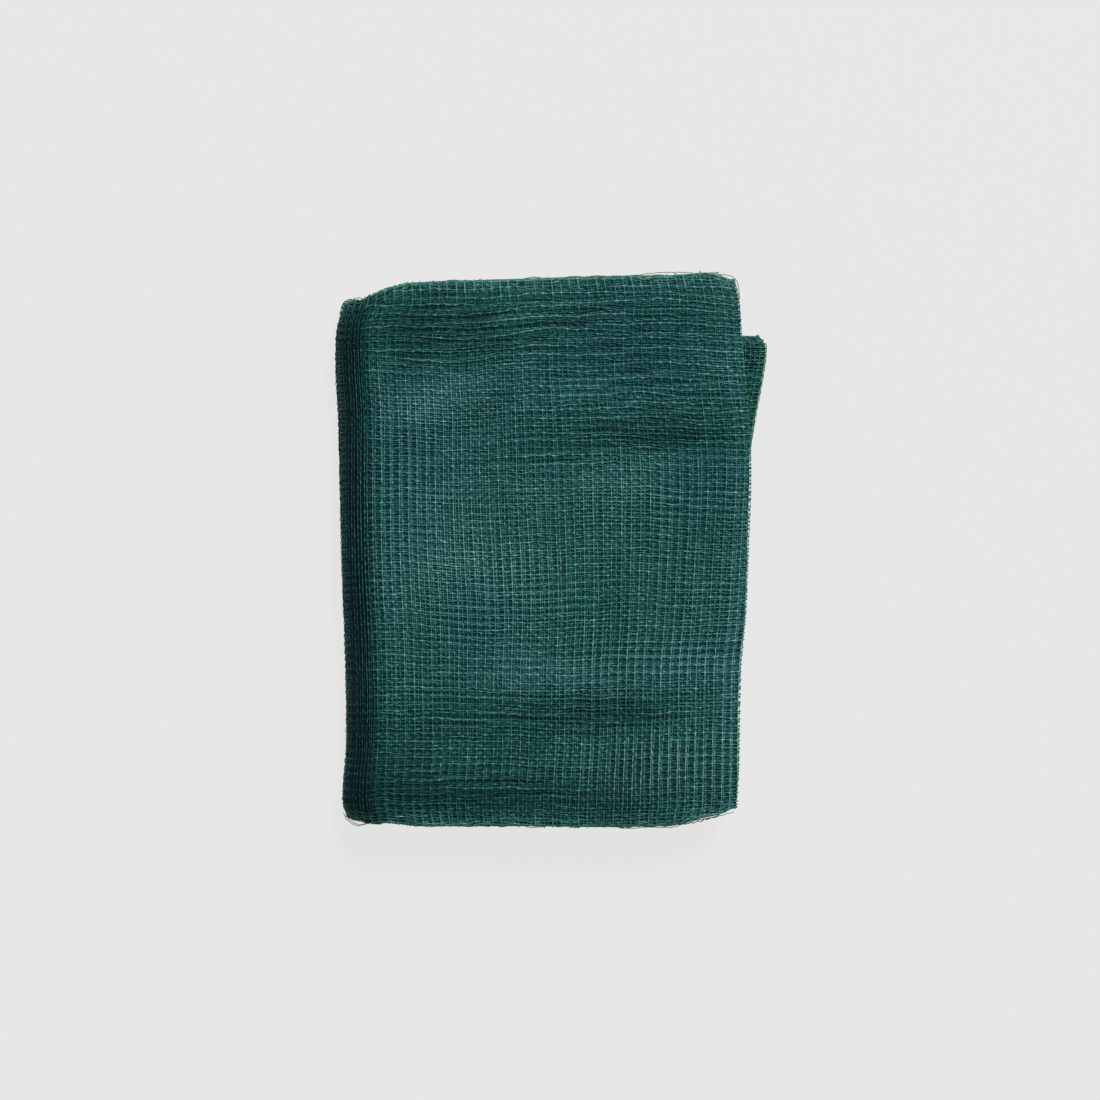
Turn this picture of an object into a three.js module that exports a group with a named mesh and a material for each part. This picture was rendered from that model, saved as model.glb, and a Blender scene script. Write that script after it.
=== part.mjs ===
// Harvest net, knitted from green polyethylene yarn and folded flat.
// Millimetres, +Z up. The packet lies on its underside with the origin under its middle, its longer side
// along Y, its rounded spine at -X and its open folds at +X.
// The net was first folded lengthwise into a strip of several plies, a band. The band was folded back and
// forth, and its last length was wrapped round the stack: it runs along the underside, up round the spine
// and over the top, and from there back and forth down through the stack.

import * as THREE from "three";

// Driving dimensions
const LAYERS = 12; // bands lying one on another
const PACK_HEIGHT = 39; // in the middle of the packet
const BAND_SHARE = 0.76; // how much of a layer's height its band fills
const CALM_LAYERS = 3; // the lowest layers lie level, and the ones above share the creases
const SPINE_BAND = 1.7; // thickness of the band where it is drawn round the spine
const SPINE_WIDTH = 33; // how far in from the left the rounding reaches
const SPINE_LOW = 6; // height of the spine's outermost line
const SPINE_UNDER = 10; // how far in from the left the underside begins to lie flat
const SPINE_ROUND = 1.5; // exponent of the spine's profile, 2 being an ellipse
const INNER_SQUEEZE = 0.55; // share of the height to which the stack inside the spine slopes down
const RIGHT_FALL = 0.17; // how much lower the pack is at its right folds, as a share
const RIGHT_REACH = 15; // how far in from the right that begins
const END_FALL = 0.15; // the same at the two ends of the bands
const END_REACH = 34;
const FOLD_DEPTH = 3; // how far in from a fold's outermost line its round part begins, about
const FLAP_DROOP = 0.013; // fall of the corner that stands out, for each square millimetre it stands out

// How many steps a rounded stretch has
const SPINE_STEPS = 9;
const UNDER_STEPS = 3;
const FOLD_STEPS = 3;

// The packet's outline seen from above. Along is a place on Y and out is X there.
const LEFT_EDGE = [
  { along: -206, out: -154 },
  { along: -190, out: -157.6 },
  { along: -146, out: -154.9 },
  { along: -76, out: -155.9 },
  { along: -6, out: -158.5 },
  { along: 100, out: -161 },
  { along: 140, out: -163 },
  { along: 168, out: -162 },
  { along: 188, out: -156 },
];
const RIGHT_EDGE = [
  { along: -202, out: 139 },
  { along: -190, out: 142 },
  { along: -90, out: 144.4 },
  { along: -50, out: 148 },
  { along: 22, out: 151 },
  { along: 78, out: 151.8 },
  { along: 135, out: 146.8 },
  { along: 190, out: 143 },
  { along: 206, out: 139 },
];
// The fold whose corner stands out beyond the others
const FLAP_EDGE = [
  { along: -200, out: 138 },
  { along: 0, out: 146 },
  { along: 60, out: 150 },
  { along: 97, out: 155.5 },
  { along: 136, out: 162 },
  { along: 153, out: 163 },
  { along: 162, out: 157 },
];
// Across is a place on X, and top and bottom are Y there, at the two ends of the outermost band.
const ENDS = [
  { across: -160, top: 185, bottom: -203 },
  { across: -142, top: 188, bottom: -207 },
  { across: -126, top: 197, bottom: -206 },
  { across: -106, top: 201.5, bottom: -208 },
  { across: -20, top: 204.5, bottom: -208.5 },
  { across: 64, top: 207, bottom: -209 },
  { across: 104, top: 207.5, bottom: -207 },
  { across: 127, top: 209.5, bottom: -201.5 },
  { across: 137, top: 207.5, bottom: -199.5 },
  { across: 146, top: 199, bottom: -195 },
];

// The folds, from the one at the top down to the band's free end inside. In is how far a left fold lies
// inside the spine, or a right fold inside the packet's right edge. Top and bottom are how far its two ends
// lie inside those of the outermost band.
const FOLDS = [
  { side: "right", in: 0, top: 0, bottom: 0 },
  { side: "left", in: 22, top: 3, bottom: 4 },
  { side: "right", in: 2.5, top: 5, bottom: 2 },
  { side: "left", in: 15, top: 6, bottom: 2 },
  { side: "right", in: 4.5, top: 2, bottom: 5 },
  { side: "left", in: 9.5, top: 3, bottom: 5 },
  { side: "flap", in: 4, top: 37, bottom: 3 },
  { side: "left", in: 6, top: 5, bottom: 3 },
  { side: "right", in: 3, top: 7, bottom: 6 },
  { side: "left", in: 8, top: 4, bottom: 6 },
  { side: "free", in: 9, top: 6, bottom: 4 },
];
const UNDERSIDE_END = { side: "free", in: 5, top: 3, bottom: 3 };
const SPINE = { side: "spine", in: 0, top: 0, bottom: 0 };

// Creases and swellings of the top. Long and wide are the distances over which one fades out along and
// across its own line, which is turned by turn degrees from X.
const CREASES = [
  { name: "groove across the right half", x: 90, y: 77, long: 60, wide: 11, turn: 0, rise: -3.4 },
  { name: "swelling above that groove", x: 52, y: 106, long: 62, wide: 15, turn: 0, rise: 1.8 },
  { name: "slanting ridge", x: -82, y: 108, long: 44, wide: 14, turn: 31, rise: 3 },
  { name: "slanting groove", x: -48, y: 96, long: 52, wide: 11, turn: 30, rise: -2 },
  { name: "its upper end", x: -10, y: 138, long: 30, wide: 12, turn: 58, rise: -1.8 },
  { name: "small ridge beside that", x: -29, y: 164, long: 24, wide: 11, turn: 50, rise: 1.6 },
  { name: "swelling of the left half", x: -62, y: -28, long: 72, wide: 26, turn: 0, rise: 1.4 },
  { name: "faint upright groove", x: 49, y: -36, long: 55, wide: 12, turn: 90, rise: -1.4 },
  { name: "swelling below the middle", x: -8, y: -106, long: 52, wide: 15, turn: 0, rise: 1.3 },
  { name: "another to its right", x: 106, y: -97, long: 40, wide: 12, turn: 0, rise: 0.9 },
  { name: "hollow towards the lower end", x: 55, y: -132, long: 34, wide: 14, turn: 0, rise: -2.3 },
  { name: "wide hollow beside it", x: -33, y: -146, long: 58, wide: 24, turn: 0, rise: -1.8 },
];

// Where the layers have a station across the packet. All have one where the right folds begin to slope
// down. Those inside the spine have one this far in from the left edge. The fold that stands out has one
// more where it leaves the others, or this far inside its own line.
const FINE_STATIONS = [-90, -62, -34, -6, 22, 50, 78, 104];
const PLAIN_STATIONS = [-90, 22];
const SPINE_STATION = 32;
const FLAP_LEAD = 6;
// Where they have one along the packet, as a share from the lower end to the upper one
const ALONG = [
  0, 0.02, 0.06, 0.12, 0.18, 0.245, 0.33, 0.43, 0.53,
  0.62, 0.655, 0.685, 0.715, 0.755, 0.83, 0.91, 0.965, 1,
];

const mix = THREE.MathUtils.lerp;
const clamp = THREE.MathUtils.clamp;

// A smooth curve through a table's rows: a cubic between each two rows, with the slope at a row taken from
// its neighbours. It stays level beyond the table's ends.
function curveThrough(rows, place, value) {
  const last = rows.length - 1;
  const slopes = rows.map((row, i) => {
    const before = rows[Math.max(i - 1, 0)];
    const after = rows[Math.min(i + 1, last)];
    return (after[value] - before[value]) / (after[place] - before[place]);
  });
  return (wanted) => {
    const at = clamp(wanted, rows[0][place], rows[last][place]);
    const i = Math.max(rows.findIndex((row) => row[place] >= at), 1);
    const span = rows[i][place] - rows[i - 1][place];
    const u = (at - rows[i - 1][place]) / span;
    const eased = u * u * (3 - 2 * u);
    const bend = span * u * (1 - u) * ((1 - u) * slopes[i - 1] - u * slopes[i]);
    return mix(rows[i - 1][value], rows[i][value], eased) + bend;
  };
}

const leftEdge = curveThrough(LEFT_EDGE, "along", "out");
const rightEdge = curveThrough(RIGHT_EDGE, "along", "out");
const flapEdge = curveThrough(FLAP_EDGE, "along", "out");
const topEnd = curveThrough(ENDS, "across", "top");
const bottomEnd = curveThrough(ENDS, "across", "bottom");

// 1 at an edge, falling to 0 at reach from it
function nearEdge(distance, reach) {
  return 1 - clamp(distance / reach, 0, 1);
}

// How far the creases raise or lower the top of the pack at a place
function crease(x, y) {
  let rise = 0;
  for (const one of CREASES) {
    const turn = THREE.MathUtils.degToRad(one.turn);
    const along = (x - one.x) * Math.cos(turn) + (y - one.y) * Math.sin(turn);
    const across = (y - one.y) * Math.cos(turn) - (x - one.x) * Math.sin(turn);
    rise += one.rise * Math.exp(-((along / one.long) ** 2) - (across / one.wide) ** 2);
  }
  return rise;
}

// Height of the pack without its creases, before the spine rounds it off
function packHeight(x, y) {
  const right = RIGHT_FALL * nearEdge(rightEdge(y) - x, RIGHT_REACH);
  const end = END_FALL * nearEdge(Math.min(topEnd(x) - y, y - bottomEnd(x)), END_REACH) ** 2;
  return PACK_HEIGHT * (1 - right) * (1 - end);
}

// The same where the spine rounds it off: a superellipse from the outermost line up to the full height, and
// a plain slope inside the spine
function spineHeight(x, y) {
  const inward = x - leftEdge(y);
  const height = packHeight(x, y);
  const share = clamp(Math.max(inward, SPINE_STATION) / SPINE_WIDTH, 0, 1);
  const profile = (1 - (1 - share) ** SPINE_ROUND) ** (1 / SPINE_ROUND);
  const rounded = SPINE_LOW + (height - SPINE_LOW) * profile;
  return mix(rounded, INNER_SQUEEZE * height, nearEdge(inward, SPINE_STATION));
}

// Middle of a layer and thickness of its band at a place. The lowest band lies on z = 0 and the highest
// reaches the height of the pack, and the creases die away towards the calm layers.
function layerAt(layer, x, y) {
  const height = spineHeight(x, y);
  const thick = (BAND_SHARE * height) / LAYERS;
  const step = (height - thick) / (LAYERS - 1);
  const moved = Math.max(layer - CALM_LAYERS, 0) / (LAYERS - 1 - CALM_LAYERS);
  const droop = FLAP_DROOP * Math.max(x - rightEdge(y), 0) ** 2;
  return { z: thick / 2 + layer * step + moved * crease(x, y) - droop, thick };
}

// Where a fold's outermost line lies at a place along the packet
function foldLine(fold, y) {
  if (fold.side === "left") return leftEdge(y) + fold.in;
  if (fold.side === "flap") return Math.max(flapEdge(y), rightEdge(y) - fold.in);
  return rightEdge(y) - fold.in;
}

// How far a band's two ends lie inside those of the outermost one, part of the way between two folds
function between(left, right, across) {
  const share = clamp((across - leftEdge(0)) / (rightEdge(0) - leftEdge(0)), 0, 1);
  return {
    top: mix(left.top, right.top, share),
    bottom: mix(left.bottom, right.bottom, share),
  };
}

// The band cut across, at a share of the way from the packet's lower end to its upper one: a row of points
// along the middle of the band, each with the direction of its outer face and its thickness.
function bandAt(along) {
  const band = [];

  function add(across, inset, section) {
    const y = mix(bottomEnd(across) + inset.bottom, topEnd(across) - inset.top, along);
    band.push({ y, ...section(y) });
  }

  function addLevel(layer, across, inset, placeAt, face) {
    add(across, inset, (y) => {
      const x = placeAt(y);
      return { x, outX: 0, outZ: face, ...layerAt(layer, x, y) };
    });
  }

  // One layer between its folds. Face is 1 if it runs to the right, with the outer face up, and -1 if it
  // runs back.
  function addLayer(layer, left, right, face) {
    const stations = layer > CALM_LAYERS ? FINE_STATIONS : PLAIN_STATIONS;
    const places = stations.map((x) => ({ across: x, placeAt: () => x }));
    places.push({ across: rightEdge(0) - RIGHT_REACH, placeAt: (y) => rightEdge(y) - RIGHT_REACH });
    if (right.side === "flap") {
      places.push({
        across: foldLine(right, 0),
        placeAt: (y) => Math.min(rightEdge(y), foldLine(right, y) - FLAP_LEAD),
      });
    }
    if (layer > 0 && layer < LAYERS - 1) {
      places.unshift({ across: leftEdge(0) + SPINE_STATION, placeAt: (y) => leftEdge(y) + SPINE_STATION });
    }
    if (face < 0) places.reverse();
    for (const { across, placeAt } of places) {
      addLevel(layer, across, between(left, right, across), placeAt, face);
    }
  }

  // A fold down from one layer to the next, a half circle that turns right or left
  function addFold(upper, fold) {
    const side = fold.side === "left" ? -1 : 1;
    for (let step = 0; step <= FOLD_STEPS; step++) {
      const angle = Math.PI * (0.5 - step / FOLD_STEPS);
      add(foldLine(fold, 0), fold, (y) => {
        const line = foldLine(fold, y);
        const above = layerAt(upper, line - side * FOLD_DEPTH, y);
        const below = layerAt(upper - 1, line - side * FOLD_DEPTH, y);
        const radius = (above.z - below.z) / 2;
        return {
          x: line - side * (radius + above.thick / 2) + side * radius * Math.cos(angle),
          z: (above.z + below.z) / 2 + radius * Math.sin(angle),
          outX: Math.cos(angle),
          outZ: side * Math.sin(angle),
          thick: mix(above.thick, below.thick, step / FOLD_STEPS),
        };
      });
    }
  }

  // The turn from the underside to the spine's outermost line, a quarter of an ellipse
  function addUnderTurn() {
    for (let step = 0; step < UNDER_STEPS; step++) {
      const angle = (Math.PI / 2) * (1 - step / UNDER_STEPS);
      const inward = SPINE_UNDER * (1 - Math.cos(angle));
      add(leftEdge(0) + inward, SPINE, (y) => {
        const flat = layerAt(0, leftEdge(y) + SPINE_UNDER, y);
        const wide = SPINE_UNDER - SPINE_BAND / 2;
        const high = SPINE_LOW - flat.z;
        const out = new THREE.Vector2(Math.cos(angle) / wide, Math.sin(angle) / high).normalize();
        return {
          x: leftEdge(y) + SPINE_UNDER - wide * Math.cos(angle),
          z: SPINE_LOW - high * Math.sin(angle),
          outX: -out.x,
          outZ: -out.y,
          thick: mix(SPINE_BAND, flat.thick, Math.sin(angle)),
        };
      });
    }
  }

  // The spine, from its outermost line up to where the top lies level, along a superellipse
  function addSpine() {
    for (let step = 0; step <= SPINE_STEPS; step++) {
      const angle = (Math.PI / 2) * (step / SPINE_STEPS);
      const cos = Math.max(Math.cos(angle), 0);
      const sin = Math.sin(angle);
      const reach = cos ** (2 / SPINE_ROUND);
      add(leftEdge(0) + SPINE_WIDTH * (1 - reach), SPINE, (y) => {
        const level = layerAt(LAYERS - 1, leftEdge(y) + SPINE_WIDTH, y);
        const wide = SPINE_WIDTH - SPINE_BAND / 2;
        const high = level.z - SPINE_LOW;
        const power = 2 - 2 / SPINE_ROUND;
        const out = new THREE.Vector2(cos ** power / wide, sin ** power / high).normalize();
        return {
          x: leftEdge(y) + SPINE_WIDTH - wide * reach,
          z: SPINE_LOW + high * sin ** (2 / SPINE_ROUND),
          outX: -out.x,
          outZ: out.y,
          thick: mix(SPINE_BAND, level.thick, sin ** 4),
        };
      });
    }
  }

  addLevel(0, foldLine(UNDERSIDE_END, 0), UNDERSIDE_END, (y) => foldLine(UNDERSIDE_END, y), -1);
  addLayer(0, SPINE, UNDERSIDE_END, -1);
  addUnderTurn();
  addSpine();
  let left = SPINE;
  FOLDS.forEach((fold, i) => {
    const layer = LAYERS - 1 - i;
    if (fold.side === "left") {
      addLayer(layer, fold, FOLDS[i - 1], -1);
      left = fold;
    } else {
      addLayer(layer, left, fold, 1);
    }
    if (fold.side === "free") {
      addLevel(layer, foldLine(fold, 0), fold, (y) => foldLine(fold, y), 1);
    } else {
      addFold(layer, fold);
    }
  });
  return band;
}

// Two points of the band's faces at each station, and quads between neighbours: its two faces, its two long
// edges and its two ends
function bandGeometry() {
  const positions = [];
  const triangles = [];
  const sections = ALONG.map(bandAt);
  const stations = sections[0].length;
  for (const section of sections) {
    for (const { x, y, z, outX, outZ, thick } of section) {
      for (const side of [0.5, -0.5]) {
        positions.push(x + side * thick * outX, y, z + side * thick * outZ);
      }
    }
  }
  const outer = (row, place) => 2 * (row * stations + place);
  const inner = (row, place) => outer(row, place) + 1;
  const quad = (a, b, c, d) => triangles.push(a, b, c, a, c, d);
  const turned = (a, b, c, d) => quad(b, c, d, a);
  const end = sections.length - 1;
  const edge = stations - 1;
  for (let row = 0; row < end; row++) {
    for (let place = 0; place < edge; place++) {
      // seen from above, the quads' diagonals all run the same way, so that the layers stay parallel
      const half = sections[row][place + 1].x > sections[row][place].x ? quad : turned;
      half(outer(row, place), outer(row, place + 1), outer(row + 1, place + 1), outer(row + 1, place));
      half(inner(row, place), inner(row + 1, place), inner(row + 1, place + 1), inner(row, place + 1));
    }
    quad(outer(row, 0), outer(row + 1, 0), inner(row + 1, 0), inner(row, 0));
    quad(outer(row, edge), inner(row, edge), inner(row + 1, edge), outer(row + 1, edge));
  }
  for (let place = 0; place < edge; place++) {
    quad(outer(0, place), inner(0, place), inner(0, place + 1), outer(0, place + 1));
    quad(outer(end, place), outer(end, place + 1), inner(end, place + 1), inner(end, place));
  }
  const geometry = new THREE.BufferGeometry();
  geometry.setAttribute("position", new THREE.Float32BufferAttribute(positions, 3));
  geometry.setIndex(triangles);
  geometry.computeVertexNormals();
  return geometry;
}

const knittedNet = new THREE.MeshStandardMaterial({ color: "#264c4b", roughness: 0.7, metalness: 0 });
const net = new THREE.Mesh(bandGeometry(), knittedNet);
net.name = "net";

const packet = new THREE.Group();
packet.add(net);
export default packet;
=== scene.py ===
# %% [markdown]
# # A harvest net, folded flat
#
# The net is knitted from green polyethylene yarn: upright chains of stitches, the wales, with yarn laid
# across them in rows, the courses. It was folded lengthwise into a band of several plies, the band was
# folded back and forth, and its last length goes round the whole stack. Seen from above there is a
# rounded spine on the left, sharp folds on the right, and one corner of a lower fold that stands out.
#
# The lesson builds it in three depths. A dark core follows every fold of the band and stands for the
# plies that only show as depth. Real yarns lie on it where the eye can reach them. Loops of yarn close
# the bands' ends.

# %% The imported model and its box
import math
from collections import namedtuple

import bpy
import numpy as np
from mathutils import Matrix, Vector


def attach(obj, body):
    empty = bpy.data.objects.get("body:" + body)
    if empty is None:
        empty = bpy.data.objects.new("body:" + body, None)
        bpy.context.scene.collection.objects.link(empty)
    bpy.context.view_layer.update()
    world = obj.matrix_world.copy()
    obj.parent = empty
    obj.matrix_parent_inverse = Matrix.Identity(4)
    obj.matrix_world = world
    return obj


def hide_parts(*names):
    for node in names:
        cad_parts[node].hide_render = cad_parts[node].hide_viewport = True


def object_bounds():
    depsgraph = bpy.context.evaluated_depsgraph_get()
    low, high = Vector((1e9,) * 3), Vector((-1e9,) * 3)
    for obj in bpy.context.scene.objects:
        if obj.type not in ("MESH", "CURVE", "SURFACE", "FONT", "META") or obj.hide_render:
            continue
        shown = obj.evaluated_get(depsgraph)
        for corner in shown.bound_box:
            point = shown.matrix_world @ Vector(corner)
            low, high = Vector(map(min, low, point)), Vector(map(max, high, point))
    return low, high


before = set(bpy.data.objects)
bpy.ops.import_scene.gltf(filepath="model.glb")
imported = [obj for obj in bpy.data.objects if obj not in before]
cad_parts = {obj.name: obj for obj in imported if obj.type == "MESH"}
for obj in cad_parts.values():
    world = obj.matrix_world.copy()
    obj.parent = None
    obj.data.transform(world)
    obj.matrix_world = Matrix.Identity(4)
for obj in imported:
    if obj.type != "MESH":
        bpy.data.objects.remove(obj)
cad_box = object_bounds()
print("nodes", sorted(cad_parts), "box", cad_box)

# %% [markdown]
# ## The camera
#
# The picture was taken from straight above. A long lens keeps the packet's sides out of sight, as there.
# The frame's width is worked out from the real size of one pixel.

# %% Camera straight above
MM = 0.001
PIXEL = 0.753 * MM  # real size of one pixel of the 1100 pixel frame, from the pitch of the net
FRAME_PIXELS = 1100
CAMERA_HEIGHT = 3.2  # metres
SENSOR = 36  # millimetres


def new_object(name, data):
    """An object with this data, linked into the scene."""
    made = bpy.data.objects.new(name, data)
    bpy.context.scene.collection.objects.link(made)
    return made


camera_data = bpy.data.cameras.new("camera")
camera_data.sensor_width = SENSOR
face_height = cad_box[1][2]
camera_data.lens = SENSOR * (CAMERA_HEIGHT - face_height) / (FRAME_PIXELS * PIXEL)
camera = new_object("camera", camera_data)
camera.location = (0, 0, CAMERA_HEIGHT)
bpy.context.scene.camera = camera
print("lens", round(camera_data.lens, 1), "mm")

# %% [markdown]
# ## The packet's outline and folds
#
# These are the sizes that the solid was made with, in millimetres in the tables and in metres everywhere
# else. The only ones that differ are at the packet's two upper corners and at the corner that stands out,
# where the yarns reach a few millimetres further, as in the photo. A table's rows are joined by a smooth
# curve, so a few rows give an edge as uneven as the real one.

# %% Driving sizes of the folded packet
LAYERS = 12  # bands lying one on another
PACK_HEIGHT = 39 * MM
BAND_SHARE = 0.76  # of a layer's height that its band fills
CALM_LAYERS = 3  # the lowest layers lie level
SPINE_BAND = 1.7 * MM  # thickness of the band round the spine
SPINE_WIDTH = 33 * MM
SPINE_LOW = 6 * MM  # height of the spine's outermost line
SPINE_UNDER = 10 * MM  # how far in from it the underside begins
SPINE_ROUND, UNDER_ROUND = 1.5, 2  # exponents of the profile above and below that line, 2 being an ellipse
SPINE_EASE, UNDER_EASE = 4, 1  # how late the band gets its full thickness there
SPINE_SLOPE = 32 * MM  # inside the spine the stack slopes down from here
INNER_SQUEEZE = 0.55  # to this share of its height
RIGHT_FALL = 0.17  # how much lower the pack is at its right folds, as a share
RIGHT_REACH = 15 * MM
END_FALL = 0.15
END_REACH = 34 * MM
FOLD_DEPTH = 3 * MM  # how far in from a fold's outermost line its round part begins, about
FLAP_DROOP = 0.013 / MM  # fall of the corner that stands out, for each square of its reach

# %% Outline and folds, one row for each place or fold
Place = namedtuple("Place", "along out")
End = namedtuple("End", "across top bottom")
Fold = namedtuple("Fold", "side inset top bottom")
Crease = namedtuple("Crease", "x y long wide turn rise")

LEFT_EDGE = [Place(*row) for row in (
    (-206, -154), (-190, -157.6), (-146, -154.9), (-76, -155.9), (-6, -158.5),
    (100, -161), (140, -163), (168, -162), (188, -156))]
RIGHT_EDGE = [Place(*row) for row in (
    (-202, 139), (-190, 142), (-90, 144.4), (-50, 148), (22, 151),
    (78, 151.8), (135, 146.8), (190, 143), (206, 139))]
FLAP_EDGE = [Place(*row) for row in (
    (-200, 138), (0, 146), (60, 150), (97, 155.5), (136, 162.5), (152, 164.3), (158.5, 163), (163, 157.5))]
ENDS = [End(*row) for row in (
    (-160, 187, -203), (-142, 190, -207), (-126, 197, -206), (-106, 201.5, -208), (-20, 204.5, -208.5),
    (64, 207, -209), (104, 207.5, -207), (127, 209.5, -201.5), (137, 207.5, -199.5), (146, 204.5, -195))]

# From the fold at the top down to the band's free end inside
FOLDS = [Fold(side, *(size * MM for size in sizes)) for side, *sizes in (
    ("right", 0, 0, 0), ("left", 22, 3, 4), ("right", 2.5, 5, 2), ("left", 15, 6, 2), ("right", 4.5, 2, 5),
    ("left", 9.5, 3, 5), ("flap", 4, 37, 3), ("left", 6, 5, 3), ("right", 3, 7, 6), ("left", 8, 4, 6),
    ("free", 9, 6, 4))]
UNDERSIDE_END = Fold("free", 5 * MM, 3 * MM, 3 * MM)
SPINE = Fold("spine", 0, 0, 0)

CREASES = [Crease(*row) for row in (
    (90, 77, 60, 11, 0, -3.4),  # groove across the right half
    (52, 106, 62, 15, 0, 1.8),  # swelling above that groove
    (-82, 108, 44, 14, 31, 3.0),  # slanting ridge
    (-48, 96, 52, 11, 30, -2.0),  # slanting groove
    (-10, 138, 30, 12, 58, -1.8),  # its upper end
    (-29, 164, 24, 11, 50, 1.6),  # small ridge beside that
    (-62, -28, 72, 26, 0, 1.4),  # swelling of the left half
    (49, -36, 55, 12, 90, -1.4),  # faint upright groove
    (-8, -106, 52, 15, 0, 1.3),  # swelling below the middle
    (106, -97, 40, 12, 0, 0.9),  # another to its right
    (55, -132, 34, 14, 0, -2.3),  # hollow towards the lower end
    (-33, -146, 58, 24, 0, -1.8),  # wide hollow beside it
)]


# %% [markdown]
# ## From tables to curves
#
# A cubic runs between each two rows. Its slope at a row is that of the line from the row before to the row
# after, so the curve passes every row without a corner, and it stays level beyond the ends.

# %% Curves through the tables
def cubic(u, span, values, slopes, i):
    """last·(1 - ease) + next·ease + span·u(1 - u)·((1 - u)·slope_last - u·slope_next), with u from 0 to 1
    between row i and the next, and ease(u) = u²(3 - 2u)."""
    ease = u * u * (3 - 2 * u)
    bend = span * u * (1 - u) * ((1 - u) * slopes[i] - u * slopes[i + 1])
    return values[i] * (1 - ease) + values[i + 1] * ease + bend


def curve_through(rows, place, value):
    """A function of place: the cubic between the two rows around it, level beyond the ends."""
    at = np.array([getattr(row, place) for row in rows]) * MM
    values = np.array([getattr(row, value) for row in rows]) * MM
    before = np.maximum(np.arange(len(at)) - 1, 0)
    after = np.minimum(np.arange(len(at)) + 1, len(at) - 1)
    slopes = (values[after] - values[before]) / (at[after] - at[before])

    def curve(wanted):
        """The table's value at each wanted place."""
        inside = np.clip(wanted, at[0], at[-1])
        i = np.clip(np.searchsorted(at, inside, side="right") - 1, 0, len(at) - 2)
        span = at[i + 1] - at[i]
        return cubic((inside - at[i]) / span, span, values, slopes, i)

    return curve


left_edge = curve_through(LEFT_EDGE, "along", "out")
right_edge = curve_through(RIGHT_EDGE, "along", "out")
flap_edge = curve_through(FLAP_EDGE, "along", "out")
top_end = curve_through(ENDS, "across", "top")
bottom_end = curve_through(ENDS, "across", "bottom")
print("packet", round(float(right_edge(0) - left_edge(0)), 4), "m across in the middle")


def mix(a, b, share):
    """a at share 0, b at share 1, and evenly between."""
    return a + (b - a) * share


def near(distance, reach):
    """1 at an edge, falling to 0 at reach from it."""
    return 1 - np.clip(distance / reach, 0, 1)


# %% [markdown]
# ## Heights of the pack
#
# Cloth that is folded many times is thick in the middle and pressed thin where it turns. So one function
# gives the pack's height anywhere, and the layers share it out evenly. The creases are soft troughs and
# ridges, each one a bell shape in its own turned frame.

# %% Heights
def in_frame(one, x, y):
    """How far along and across a crease or a patch a place lies: its distance from the middle, turned
    back."""
    turn = math.radians(one.turn)
    dx, dy = x - one.x * MM, y - one.y * MM
    return dx * math.cos(turn) + dy * math.sin(turn), dy * math.cos(turn) - dx * math.sin(turn)


def bell(one, along, across):
    """exp(-(along/long)² - (across/wide)²), which is 1 in the middle."""
    return np.exp(-((along / (one.long * MM)) ** 2) - (across / (one.wide * MM)) ** 2)


def crease_rise(x, y):
    """The sum of rise·bell over the creases."""
    rise = np.zeros(np.broadcast(x, y).shape)
    for one in CREASES:
        rise += one.rise * MM * bell(one, *in_frame(one, x, y))
    return rise


def pack_height(x, y):
    """PACK_HEIGHT, less a share near the right folds, less a share that grows with the square near the
    two ends."""
    right = RIGHT_FALL * near(right_edge(y) - x, RIGHT_REACH)
    end = END_FALL * near(np.minimum(top_end(x) - y, y - bottom_end(x)), END_REACH) ** 2
    return PACK_HEIGHT * (1 - right) * (1 - end)


def spine_height(x, y):
    """Height under the spine: low + (height - low)·(1 - (1 - s)^n)^(1/n), s being the share of the
    spine's width, and from SPINE_SLOPE outwards a plain slope down to INNER_SQUEEZE·height."""
    inward = x - left_edge(y)
    height = pack_height(x, y)
    share = np.clip(np.maximum(inward, SPINE_SLOPE) / SPINE_WIDTH, 0, 1)
    profile = (1 - (1 - share) ** SPINE_ROUND) ** (1 / SPINE_ROUND)
    rounded = SPINE_LOW + (height - SPINE_LOW) * profile
    return mix(rounded, INNER_SQUEEZE * height, near(inward, SPINE_SLOPE))


def layer_at(layer, x, y):
    """Middle and thickness of one layer's band: thickness = share·height/layers, middles evenly spaced
    between."""
    height = spine_height(x, y)
    thick = BAND_SHARE * height / LAYERS
    step = (height - thick) / (LAYERS - 1)
    moved = max(layer - CALM_LAYERS, 0) / (LAYERS - 1 - CALM_LAYERS)
    droop = FLAP_DROOP * np.maximum(x - right_edge(y), 0) ** 2
    return thick / 2 + layer * step + moved * crease_rise(x, y) - droop, thick


FLAP_DRAW = 0.5  # the fold that stands out is drawn in by this share of what the others are


def fold_line(fold, y, draw_in=0.0):
    """Where a fold's outermost line lies: its edge less its inset, drawn in by so much on the right."""
    if fold.side == "left":
        return left_edge(y) + fold.inset
    if fold.side == "flap":
        return np.maximum(flap_edge(y) - FLAP_DRAW * draw_in, right_edge(y) - fold.inset - draw_in)
    return right_edge(y) - fold.inset - draw_in


print("height in the middle", round(float(pack_height(0, 0)), 4), "m")


# %% [markdown]
# ## The band as a grid
#
# The band's section across the packet is one long path: along the underside, round the spine, over the
# top and back and forth through the stack. Each stretch of it is a small formula. Carried along the
# packet, the path becomes a grid of points with a direction outwards and a thickness at each. Everything
# else is laid on it.

# %% Stretches of the path
Grid = namedtuple("Grid", "points out half marks cloth")
FLAP_INSET = 37 * MM  # the inset that only the fold which stands out has
FLAP_TOP = 162.5 * MM  # its upper edge runs level here
FLAP_LEVEL, FLAP_LEVEL_SPAN = 95 * MM, 35 * MM


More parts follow.
